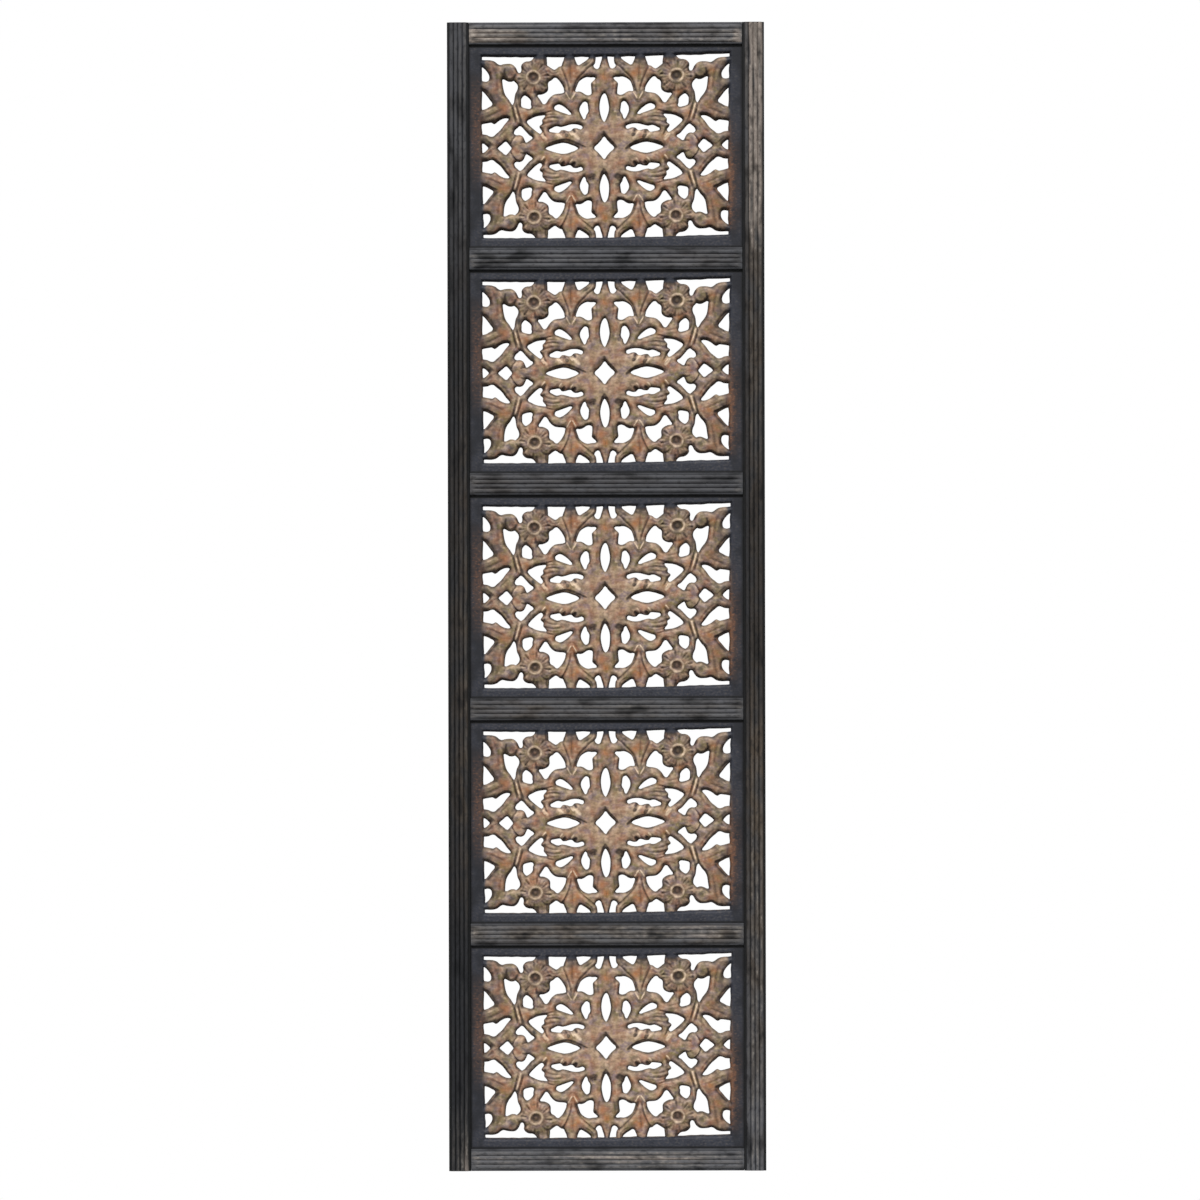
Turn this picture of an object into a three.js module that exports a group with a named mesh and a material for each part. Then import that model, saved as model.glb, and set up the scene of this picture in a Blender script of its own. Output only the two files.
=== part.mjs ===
// Carved wall panel: a tall reeded frame of two stiles and six rails, holding five pierced and
// carved boards one above the other. Millimetres, +Z up. The front faces -Y and the wall is
// towards +Y. The origin is on the back face of the top rail, midway between the stiles.

import * as THREE from 'three';

// The whole panel
const PANEL_HEIGHT = 1829;
const PANEL_WIDTH = 505;
const BAY_COUNT = 5;

// The frame's stiles and rails
const MEMBER_WIDTH = 35;
const FRAME_DEPTH = 25;
const REED_COUNT = 4;
const REED_WIDTH = 7;
const REED_RISE = 2.4;
const REED_FLATS = 3;

// The groove that runs along the inner edges and takes the boards' edges
const GROOVE_DEPTH = 6;
const FIT = 0.3;

// The carved boards
const BOARD_THICKNESS = 12;
const BOARD_SETBACK = 7;
const SIDE_BORDER = 19.5;
const END_BORDER = 15.2;

// The four flowers stand proud of the board's face, each with a dished middle
const FLOWER_SIDES = 6;
const FLOWER_RISE = 2;
const FLOWER_DISH = 1.4;

// Sizes that follow from the ones above
const BAY_PITCH = (PANEL_HEIGHT - MEMBER_WIDTH) / BAY_COUNT;
const CLEAR_WIDTH = PANEL_WIDTH - 2 * MEMBER_WIDTH;
const CLEAR_HEIGHT = BAY_PITCH - MEMBER_WIDTH;
const FIELD_WIDTH = CLEAR_WIDTH - 2 * SIDE_BORDER;
const FIELD_HEIGHT = CLEAR_HEIGHT - 2 * END_BORDER;
const BOARD_TONGUE = GROOVE_DEPTH - FIT;
const BOARD_FRONT = -(FRAME_DEPTH - BOARD_SETBACK);
const BOARD_BACK = BOARD_FRONT + BOARD_THICKNESS;
const TOP_Z = MEMBER_WIDTH / 2;

// The pattern's drawing covers one quarter of the carved field. A point is given in hundredths of
// the half field: across from the middle, then up from the middle. 100, 100 is the field's corner.
// All of the drawing keeps these proportions at any size of the board.
const share = (hundredths) => hundredths / 100;

// The pattern was laid out by eye, so its mirror-true drawing is shifted, leaned and bowed. Each
// amount is what it comes to at the field's edge, in hundredths too.
const DRIFT_SIDEWAYS = { shift: -1.15, bowAcross: 0.85, bowUp: 0.6, twist: 0.6 };
const DRIFT_UPWARDS = { shift: -1.45, lean: 1.7, bowAcross: 1.7, bowUp: 0.9 };

const diamond = (across, up, halfAcross, halfUp) => [
  [across + halfAcross, up], [across, up + halfUp], [across - halfAcross, up], [across, up - halfUp],
];

// A pointed lens, flat-sided, with its tips along the longer half size and a fuller middle.
const lens = (across, up, halfAcross, halfUp) => {
  const long = halfAcross > halfUp;
  const [tip, belly] = long ? [halfAcross, halfUp] : [halfUp, halfAcross];
  const rim = [[tip, 0], [tip / 3, belly], [-tip / 3, belly], [-tip, 0], [-tip / 3, -belly], [tip / 3, -belly]];
  return rim.map(([along, aside]) => (long ? [across + along, up + aside] : [across + aside, up + along]));
};

// Gaps between leaves, stems and flower, each drawn once and repeated in all four quarters
const QUARTER_GAPS = {
  topSlit: [[2.5, 98.5], [7, 98.5], [9, 88.5], [5.5, 84.5]],
  topNotch: [[13, 98.5], [25, 98.5], [21, 89]],
  topSquare: [[33, 98.5], [46.5, 98.5], [46, 89], [40.5, 84.5], [35, 88.5]],
  cornerSweep: [[57.5, 99], [99, 99], [98.5, 94.5], [85, 90], [76, 91], [69.5, 80.5], [67, 83], [66.5, 92]],
  cornerSlit: [[95, 85], [99, 86], [99, 73], [93.5, 73]],
  sideTriangle: [[99, 62.5], [99, 41.5], [90.5, 47.5]],
  sideGap: [[77.5, 33.5], [89.5, 26.5], [98.5, 27.5], [99.5, 15], [91, 12], [81.5, 24]],
  curlGap: [[68, 25], [73.5, 16.5], [66.5, 13.5], [63.5, 6], [57.5, 11.5]],
  teardrop: [[70.5, 71.5], [82.5, 75.5], [82, 63.5], [74.5, 46.5], [70, 65.5]],
  stemSquare: [[60, 55], [65.5, 58], [67.5, 44.5], [58.5, 42.5]],
  leafTipGap: [[47.5, 36], [56, 35], [63, 29.5], [52, 15.5], [50, 26]],
  flowerGap: [[32.5, 60.5], [35, 71], [40, 77], [45, 71], [45.5, 62.5], [54.5, 57.5], [48, 47], [42.5, 57]],
  crownGap: [[7, 75.5], [14, 77.5], [20.5, 71.5], [23.5, 61.5], [13, 56.5], [10.5, 69]],
  uprightLens: [[15.5, 51.5], [19.5, 45], [19.5, 38], [16.5, 31], [12.5, 41]],
  slantingLens: [[26, 36], [37, 48.5], [41, 44.5], [39.5, 41]],
  longSlot: [[17, 22.5], [25.5, 26.5], [44.5, 21], [37, 16.5], [26.5, 19]],
};

// Gaps that lie on the field's own axes
const AXIS_GAPS = {
  middleDiamond: diamond(0, 0, 8, 12.2),
  upperLens: lens(0, 45, 3.7, 15.6),
  lowerLens: lens(0, -45, 3.7, 15.6),
  rightLens: lens(34, 0, 13.2, 5.4),
  leftLens: lens(-34, 0, 13.2, 5.4),
  rightDiamond: diamond(80.5, 0, 5.6, 7.6),
  leftDiamond: diamond(-80.5, 0, 5.6, 7.6),
  rightEdge: [[95, 0], [99.5, 5.5], [99.5, -5.5]],
  leftEdge: [[-95, 0], [-99.5, 5.5], [-99.5, -5.5]],
};

// A flower: its middle, the reach of its petals and that of the raised ring round its dish
const FLOWER = { place: [57.3, 76], petals: [10.6, 14.3], ring: [5.5, 7.5] };

const QUARTERS = [[1, 1], [-1, 1], [-1, -1], [1, -1]];

// A point of the drawing, moved to its place on the board in millimetres, with the drift added.
function drawn([across, up]) {
  const a = share(across);
  const u = share(up);
  const { shift, bowAcross, bowUp, twist } = DRIFT_SIDEWAYS;
  const sideways = across + shift + bowAcross * a * a + bowUp * u * u + twist * a * u;
  const rise = DRIFT_UPWARDS;
  const upwards = up + rise.shift + rise.lean * a + rise.bowAcross * a * a + rise.bowUp * u * u;
  return new THREE.Vector2((share(sideways) * FIELD_WIDTH) / 2, (share(upwards) * FIELD_HEIGHT) / 2);
}

const mirrored = (points, [right, top]) => points.map(([across, up]) => [across * right, up * top]);

const anticlockwise = (loop) => (THREE.ShapeUtils.isClockWise(loop) ? [...loop].reverse() : loop);

// Every opening of a board, as closed loops on its face.
function openings() {
  const repeated = QUARTERS.flatMap((quarter) => Object.values(QUARTER_GAPS).map((gap) => mirrored(gap, quarter)));
  return [...repeated, ...Object.values(AXIS_GAPS)].map((gap) => anticlockwise(gap.map(drawn)));
}

// Each flower's rim, its raised ring and its middle. The rim's corners are the petals' tips.
function flowers() {
  const angles = Array.from({ length: FLOWER_SIDES }, (_, side) => (2 * Math.PI * side) / FLOWER_SIDES);
  return QUARTERS.map((quarter) => {
    const [[across, up]] = mirrored([FLOWER.place], quarter);
    const loop = ([reachAcross, reachUp]) => angles.map(
      (angle) => drawn([across + reachAcross * Math.cos(angle), up + reachUp * Math.sin(angle)]),
    );
    return { middle: drawn([across, up]), rim: loop(FLOWER.petals), crest: loop(FLOWER.ring) };
  });
}

// A board is flat in front and behind, with square-cut openings and low flowers on its face. Its
// closed surface is gathered loop by loop; x and z lie on the face and y runs to the wall.
function boardGeometry() {
  const halfWidth = CLEAR_WIDTH / 2 + BOARD_TONGUE;
  const halfHeight = CLEAR_HEIGHT / 2 + BOARD_TONGUE;
  const edge = [[-1, -1], [1, -1], [1, 1], [-1, 1]].map(
    ([right, top]) => new THREE.Vector2(right * halfWidth, top * halfHeight),
  );
  const gaps = openings();
  const blooms = flowers();

  const positions = [];
  const faces = [];
  const addLoop = (loop, depth) => {
    const first = positions.length / 3;
    loop.forEach((point) => positions.push(point.x, depth, point.y));
    return loop.map((_, index) => first + index);
  };
  // Joins two loops of equal length, the second one further round its own surface than the first.
  const addBand = (near, far) => near.forEach((start, index) => {
    const next = (index + 1) % near.length;
    faces.push([start, near[next], far[next]], [start, far[next], far[index]]);
  });
  const addFace = (loops, corners, towardsWall) => {
    const flat = corners.flat();
    THREE.ShapeUtils.triangulateShape(loops[0], loops.slice(1)).forEach(([a, b, c]) => {
      faces.push(towardsWall ? [flat[a], flat[c], flat[b]] : [flat[a], flat[b], flat[c]]);
    });
  };

  const loops = [edge, ...gaps];
  const front = loops.map((loop) => addLoop(loop, 0));
  const back = loops.map((loop) => addLoop(loop, BOARD_THICKNESS));
  const rims = blooms.map((bloom) => addLoop(bloom.rim, 0));
  const crests = blooms.map((bloom) => addLoop(bloom.crest, -FLOWER_RISE));
  const dishes = blooms.map((bloom) => addLoop([bloom.middle], FLOWER_DISH - FLOWER_RISE)[0]);

  addFace([...loops, ...blooms.map((bloom) => bloom.rim)], [...front, ...rims], false);
  addFace(loops, back, true);
  addBand(back[0], front[0]);
  gaps.forEach((_, index) => addBand(front[index + 1], back[index + 1]));
  rims.forEach((rim, index) => addBand(rim, crests[index]));
  crests.forEach((crest, index) => crest.forEach((corner, side) => {
    faces.push([corner, crest[(side + 1) % crest.length], dishes[index]]);
  }));

  const geometry = new THREE.BufferGeometry();
  geometry.setAttribute('position', new THREE.Float32BufferAttribute(positions, 3));
  geometry.setIndex(faces.flat());
  geometry.computeVertexNormals();
  return geometry;
}

// The section of a stile or rail, across its width: y is 0 at the back and -FRAME_DEPTH at the
// reeds' crests. A groove along the near or the far edge holds a board.
function memberSection({ nearGroove, farGroove }) {
  const floor = -(FRAME_DEPTH - REED_RISE);
  const grooveFront = BOARD_FRONT - FIT;
  const grooveBack = BOARD_BACK + FIT;
  const points = [[0, 0]];
  if (nearGroove) points.push([0, grooveBack], [GROOVE_DEPTH, grooveBack], [GROOVE_DEPTH, grooveFront], [0, grooveFront]);
  points.push([0, floor]);
  const firstReed = (MEMBER_WIDTH - REED_COUNT * REED_WIDTH) / 2;
  const arch = (step) => Math.sin((Math.PI * (step % REED_FLATS)) / REED_FLATS);
  const crest = arch(Math.floor(REED_FLATS / 2));
  for (let step = 0; step <= REED_COUNT * REED_FLATS; step += 1) {
    points.push([firstReed + (step * REED_WIDTH) / REED_FLATS, floor - (REED_RISE * arch(step)) / crest]);
  }
  points.push([MEMBER_WIDTH, floor]);
  if (farGroove) {
    const inner = MEMBER_WIDTH - GROOVE_DEPTH;
    points.push([MEMBER_WIDTH, grooveFront], [inner, grooveFront], [inner, grooveBack], [MEMBER_WIDTH, grooveBack]);
  }
  points.push([MEMBER_WIDTH, 0]);
  return new THREE.Shape(points.map(([across, depth]) => new THREE.Vector2(across, depth)));
}

const extruded = (section, length) => new THREE.ExtrudeGeometry(section, { depth: length, bevelEnabled: false });

// Materials
const blackenedWood = () => new THREE.MeshStandardMaterial({ color: 0x4d4a49, roughness: 0.78, metalness: 0 });
const carvedWood = () => new THREE.MeshStandardMaterial({ color: 0x947a60, roughness: 0.72, metalness: 0 });

function piece(name, geometry, material, x, y, z) {
  const mesh = new THREE.Mesh(geometry, material);
  mesh.name = name;
  mesh.position.set(x, y, z);
  return mesh;
}

// A stile stands upright. The right one is the left one's mirror image, so its groove is nearest.
function stile(name, side) {
  const section = memberSection({ nearGroove: side > 0, farGroove: side < 0 });
  const x = side < 0 ? -PANEL_WIDTH / 2 : PANEL_WIDTH / 2 - MEMBER_WIDTH;
  return piece(name, extruded(section, PANEL_HEIGHT), blackenedWood(), x, 0, TOP_Z - PANEL_HEIGHT);
}

// A rail lies between the stiles; its section's first edge is its upper one once it is turned.
function rail(name, index) {
  const section = memberSection({ nearGroove: index > 0, farGroove: index < BAY_COUNT });
  const length = CLEAR_WIDTH - 2 * FIT;
  const geometry = extruded(section, length).rotateY(Math.PI / 2);
  return piece(name, geometry, blackenedWood(), -length / 2, 0, TOP_Z - index * BAY_PITCH);
}

function carvedPanel(index) {
  const z = -(index - 0.5) * BAY_PITCH;
  return piece(`carved_panel_${index}`, boardGeometry(), carvedWood(), 0, BOARD_FRONT, z);
}

const railName = (index) => {
  if (index === 0) return 'top_rail';
  return index === BAY_COUNT ? 'bottom_rail' : `rail_${index}`;
};

const panel = new THREE.Group();
panel.add(stile('left_stile', -1), stile('right_stile', 1));
for (let index = 0; index <= BAY_COUNT; index += 1) panel.add(rail(railName(index), index));
for (let index = 1; index <= BAY_COUNT; index += 1) panel.add(carvedPanel(index));

export default panel;
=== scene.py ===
"""Carved wall panel: five pierced, carved boards in a tall reeded frame, dressed for a portrait.

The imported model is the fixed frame. Every board and every stile and rail of it is replaced by a
finer piece that keeps the same place and size: the boards get their carved leaves, stems and
flowers, and the frame gets round, worn reeds. Drawing sizes are in millimetres, and Blender's own
lengths are in metres. The front faces -Y and the wall is towards +Y.
"""

import logging
import math
from dataclasses import dataclass, field
from enum import Enum

import bpy
import numpy as np
from mathutils import Matrix, Vector, geometry

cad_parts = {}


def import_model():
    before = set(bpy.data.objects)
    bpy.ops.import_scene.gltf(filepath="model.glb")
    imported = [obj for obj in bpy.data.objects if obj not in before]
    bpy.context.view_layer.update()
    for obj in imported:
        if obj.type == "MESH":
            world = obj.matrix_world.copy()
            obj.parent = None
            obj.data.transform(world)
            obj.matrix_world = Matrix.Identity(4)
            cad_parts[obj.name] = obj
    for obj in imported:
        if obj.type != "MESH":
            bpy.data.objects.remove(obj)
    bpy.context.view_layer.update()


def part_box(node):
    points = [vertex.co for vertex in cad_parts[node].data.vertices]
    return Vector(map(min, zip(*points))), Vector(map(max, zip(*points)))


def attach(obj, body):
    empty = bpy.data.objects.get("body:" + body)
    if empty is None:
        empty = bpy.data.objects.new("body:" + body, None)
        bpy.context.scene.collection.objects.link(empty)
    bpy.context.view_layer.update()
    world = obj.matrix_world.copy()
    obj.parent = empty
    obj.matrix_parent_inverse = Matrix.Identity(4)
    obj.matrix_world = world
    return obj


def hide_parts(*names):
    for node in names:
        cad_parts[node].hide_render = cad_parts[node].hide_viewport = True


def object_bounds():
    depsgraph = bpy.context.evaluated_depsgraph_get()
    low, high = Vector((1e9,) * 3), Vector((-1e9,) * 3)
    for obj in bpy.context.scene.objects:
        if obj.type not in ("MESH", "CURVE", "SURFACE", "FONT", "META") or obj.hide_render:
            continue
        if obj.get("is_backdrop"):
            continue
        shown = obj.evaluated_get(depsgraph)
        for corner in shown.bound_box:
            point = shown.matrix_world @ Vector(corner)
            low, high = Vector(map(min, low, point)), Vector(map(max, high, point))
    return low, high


Array = np.ndarray
Points = tuple[tuple[float, float], ...]

LOG = logging.getLogger("carved_wall_panel")
MM = 0.001


def linear(hex_colour: str) -> tuple[float, float, float, float]:
    """Turns an sRGB hex colour into the linear values that a shader takes.

    Args:
        hex_colour: the colour as "#rrggbb".

    Returns:
        Red, green, blue and an alpha of one.
    """
    shares = [int(hex_colour[at : at + 2], 16) / 255 for at in (1, 3, 5)]
    red, green, blue = (s / 12.92 if s <= 0.04045 else ((s + 0.055) / 1.055) ** 2.4 for s in shares)
    return red, green, blue, 1.0


def smoothstep(low: float, high: float, value: Array) -> Array:
    """Rises from 0 at low to 1 at high along 3t^2 - 2t^3, flat at both ends."""
    t = np.clip((value - low) / (high - low), 0.0, 1.0)
    return t * t * (3.0 - 2.0 * t)


def smooth_curve(points: Points, closed: bool, steps: int = 6) -> Array:
    """Carries a smooth curve through hand-placed points.

    It is a Catmull-Rom curve with centripetal knots: the knots lie the square root of each chord
    apart, and each stretch blends the three lines through its four nearest points.

    Args:
        points: the places that the curve passes through, in order.
        closed: whether the curve returns to its first point.
        steps: how many short chords each stretch gets.

    Returns:
        The curve's points; a closed curve ends on its first point again.
    """
    p = np.asarray(points, float)
    before, after = (p[-1:], p[:2]) if closed else (2 * p[:1] - p[1:2], 2 * p[-1:] - p[-2:-1])
    p = np.concatenate([before, p, after])
    chords = np.linalg.norm(np.diff(p, axis=0), axis=1)
    knots = np.concatenate([[0.0], np.cumsum(np.sqrt(chords))])
    count = len(p) - 3
    p0, p1, p2, p3 = (p[i : i + count, None, :] for i in range(4))
    t0, t1, t2, t3 = (knots[i : i + count, None, None] for i in range(4))
    t = t1 + (t2 - t1) * (np.arange(steps) / steps)[None, :, None]
    a1 = ((t1 - t) * p0 + (t - t0) * p1) / (t1 - t0)
    a2 = ((t2 - t) * p1 + (t - t1) * p2) / (t2 - t1)
    a3 = ((t3 - t) * p2 + (t - t2) * p3) / (t3 - t2)
    b1 = ((t2 - t) * a1 + (t - t0) * a2) / (t2 - t0)
    b2 = ((t3 - t) * a2 + (t - t1) * a3) / (t3 - t1)
    curve = (((t2 - t) * b1 + (t - t1) * b2) / (t2 - t1)).reshape(-1, 2)
    return np.concatenate([curve, curve[:1] if closed else p[-2:-1]])


def places_near(places: Array, points: Array, margin: float) -> Array:
    """Gives the numbers of the places in the box round some points, widened by a margin."""
    inside = (places > points.min(0) - margin) & (places < points.max(0) + margin)
    return np.flatnonzero(inside.all(1))


def anticlockwise(places: Array, triangles: Array) -> Array:
    """Says which triangles of a flat mesh run anticlockwise, by the sign of two sides' product."""
    p, q, r = (places[triangles[:, i]] for i in range(3))
    turn = (q[:, 0] - p[:, 0]) * (r[:, 1] - p[:, 1]) - (q[:, 1] - p[:, 1]) * (r[:, 0] - p[:, 0])
    return turn[:, None] > 0


def nearest_on_curve(places: Array, curve: Array) -> tuple[Array, Array, Array]:
    """Finds how far each place lies from a curve of short chords.

    The nearest point of each chord is its start plus the clipped share of its length that the
    place projects to, and the nearest chord wins.

    Args:
        places: (n, 2) places.
        curve: (m, 2) points of the curve, in order.

    Returns:
        The distance, the share of the curve's length at the nearest point, and the side of the
        curve, +1 to the left of its run and -1 to the right.
    """
    start, chord = curve[:-1], np.diff(curve, axis=0)
    length = np.linalg.norm(chord, axis=1)
    offset = places[:, None, :] - start
    along = np.clip((offset * chord).sum(2) / length**2, 0.0, 1.0)
    squared = ((offset - along[..., None] * chord) ** 2).sum(2)
    rows, best = np.arange(len(places)), squared.argmin(1)
    run = np.concatenate([[0.0], np.cumsum(length)])
    share = (run[best] + along[rows, best] * length[best]) / run[-1]
    nearest = offset[rows, best]
    side = np.sign(chord[best, 0] * nearest[:, 1] - chord[best, 1] * nearest[:, 0])
    return np.sqrt(squared[rows, best]), share, side


def inside_loops(places: Array, start: Array, end: Array) -> Array:
    """Says which places lie inside closed loops, by the even-odd rule.

    A ray to the right of each place is counted against every edge that spans its height, and an
    odd number of crossings is inside.

    Args:
        places: (n, 2) places.
        start: (m, 2) first points of the loops' edges.
        end: (m, 2) last points of the same edges.

    Returns:
        One truth value for each place.
    """
    x, y = places[:, 0, None], places[:, 1, None]
    spans = (start[:, 1] > y) != (end[:, 1] > y)
    rise = np.where(end[:, 1] == start[:, 1], 1.0, end[:, 1] - start[:, 1])
    crossing = start[:, 0] + (y - start[:, 1]) * (end[:, 0] - start[:, 0]) / rise
    return (spans & (x < crossing)).sum(1) % 2 == 1


def read_off(pairs: Points, at: Array) -> Array:
    """Reads amounts off the straight lines between (place, amount) pairs."""
    return np.interp(at, *np.array(pairs, float).T)


def waver(across: Array, up: Array, length: float, seed: int) -> Array:
    """Gives a smooth random surface between about -1 and 1, the same on each run.

    It is the mean of seven sine waves, each with its own direction and phase and 0.7 to 1.4 times
    the given wavelength, times the square root of two so that it keeps its height.

    Args:
        across: first coordinates.
        up: second coordinates, of the same shape.
        length: the wavelength in the coordinates' units.
        seed: picks the waves.

    Returns:
        The surface's height at each place.
    """
    draw = np.random.default_rng(seed)
    count = 7
    heading = draw.uniform(0, 2 * math.pi, count)
    pitch = 2 * math.pi / (length * draw.uniform(0.7, 1.4, count))
    phase = draw.uniform(0, 2 * math.pi, count)
    waves = [
        np.sin((across * math.cos(h) + up * math.sin(h)) * k + p)
        for h, k, p in zip(heading, pitch, phase)
    ]
    return np.sum(waves, axis=0) * math.sqrt(2) / count


def make_piece(
    name: str,
    places: Array,
    triangles: Array,
    finish_of: Array,
    masks: dict[str, Array],
    crisp: float,
) -> bpy.types.Object:
    """Puts whole arrays into a new mesh object at the origin.

    Args:
        name: the piece's name.
        places: (n, 3) vertices in metres.
        triangles: (m, 3) corner numbers, anticlockwise seen from outside.
        finish_of: (m,) material slot number of each triangle.
        masks: values for each vertex, by attribute name: single ones from 0 to 1, or vectors.
        crisp: the angle in degrees past which an edge is drawn sharp.

    Returns:
        The object, linked to the scene.
    """
    mesh = bpy.data.meshes.new(name)
    mesh.vertices.add(len(places))
    mesh.vertices.foreach_set("co", places.astype(np.float32).ravel())
    mesh.loops.add(triangles.size)
    mesh.loops.foreach_set("vertex_index", triangles.astype(np.int32).ravel())
    mesh.polygons.add(len(triangles))
    mesh.polygons.foreach_set("loop_start", np.arange(0, triangles.size, 3, dtype=np.int32))
    mesh.polygons.foreach_set("material_index", finish_of.astype(np.int32))
    mesh.polygons.foreach_set("use_smooth", np.ones(len(triangles), bool))
    mesh.update(calc_edges=True)
    mesh.validate()
    for mask, values in masks.items():
        kind, field_name = ("FLOAT", "value") if values.ndim == 1 else ("FLOAT_VECTOR", "vector")
        attribute = mesh.attributes.new(mask, kind, "POINT")
        attribute.data.foreach_set(field_name, values.astype(np.float32).ravel())
    mesh.set_sharp_from_angle(angle=math.radians(crisp))
    piece = bpy.data.objects.new(name, mesh)
    bpy.context.scene.collection.objects.link(piece)
    return piece


class CutKind(Enum):
    """The marks that a carver's tools leave."""

    VEE = "a sharp line from a parting tool"
    GOUGE = "a round-bottomed hollow"
    RIDGE = "a rounded rib left standing"


@dataclass(frozen=True)
class Cut:
    """One tool mark of the carving, in the first quarter of the drawing.

    Attributes:
        kind: which tool made it.
        path: where it runs, in mm right of and above the board's middle.
        depth: how deep it goes, or how high a ridge stands, in mm.
        reach: how far it spreads to each side, in mm.
        lean: makes the left slope longer and the right one steeper, from -1 to 1.
        fade: the shares of its length over which it starts and ends.
    """

    kind: CutKind
    path: Points
    depth: float
    reach: float
    lean: float = 0.0
    fade: tuple[float, float] = (0.25, 0.25)

    def mark(self, places: Array, total: Array) -> None:
        """Adds this cut to a field, keeping the deeper one where marks cross.

        Its section is (1 - r)^1.15 for a vee, 1 - r^2 for a gouge and (1 - r^2)^2 for a ridge,
        where r is the distance over the reach. It fades in and out along its length, from just
        before its ends, so that the ends themselves still show a little.

        Args:
            places: (n, 2) places of the folded drawing in mm.
            total: (n,) depths so far, changed in place.
        """
        before_end = -0.02
        curve = smooth_curve(self.path, closed=False, steps=5)
        near = places_near(places, curve, self.reach * (1 + abs(self.lean)))
        distance, share, side = nearest_on_curve(places[near], curve)
        r = np.clip(distance / (self.reach * (1 + self.lean * side)), 0.0, 1.0)
        section = {
            CutKind.VEE: (1 - r) ** 1.15,
            CutKind.GOUGE: 1 - r * r,
            CutKind.RIDGE: (1 - r * r) ** 2,
        }[self.kind]
        start, end = self.fade
        held = smoothstep(before_end, start, share) * smoothstep(before_end, end, 1 - share)
        total[near] = np.maximum(total[near], self.depth * section * held)


class Mirror(Enum):
    """How a gap that lies on the drawing's axes is completed from its drawn part."""

    NONE = ((1, 1),)
    SIDEWAYS = ((1, 1), (-1, 1))
    UPWARDS = ((1, 1), (1, -1))
    BOTH = ((1, 1), (1, -1), (-1, -1), (-1, 1))


@dataclass(frozen=True)
class Gap:
    """One sawn opening of the first quarter. Those at the border run on under its straight edge.

    Attributes:
        outline: its edge in mm right of and above the board's middle.
        mirror: how it continues over the axes. A part that is mirrored runs from axis to axis.
    """

    outline: Points
    mirror: Mirror = Mirror.NONE

    def edge(self) -> Array:
        """Completes the drawn part over the axes and rounds it.

        Returns:
            (m, 2) points of the whole opening's smooth closed edge, ending on the first again.
        """
        same_place = 1e-6
        drawn = np.asarray(self.outline, float)
        parts = []
        for across, up in self.mirror.value:
            part = drawn * (across, up)
            parts.append(part if across * up > 0 else part[::-1])
        whole = np.concatenate(parts)
        apart = np.linalg.norm(whole - np.roll(whole, 1, axis=0), axis=1) > same_place
        return smooth_curve(whole[apart], closed=True)


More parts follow.
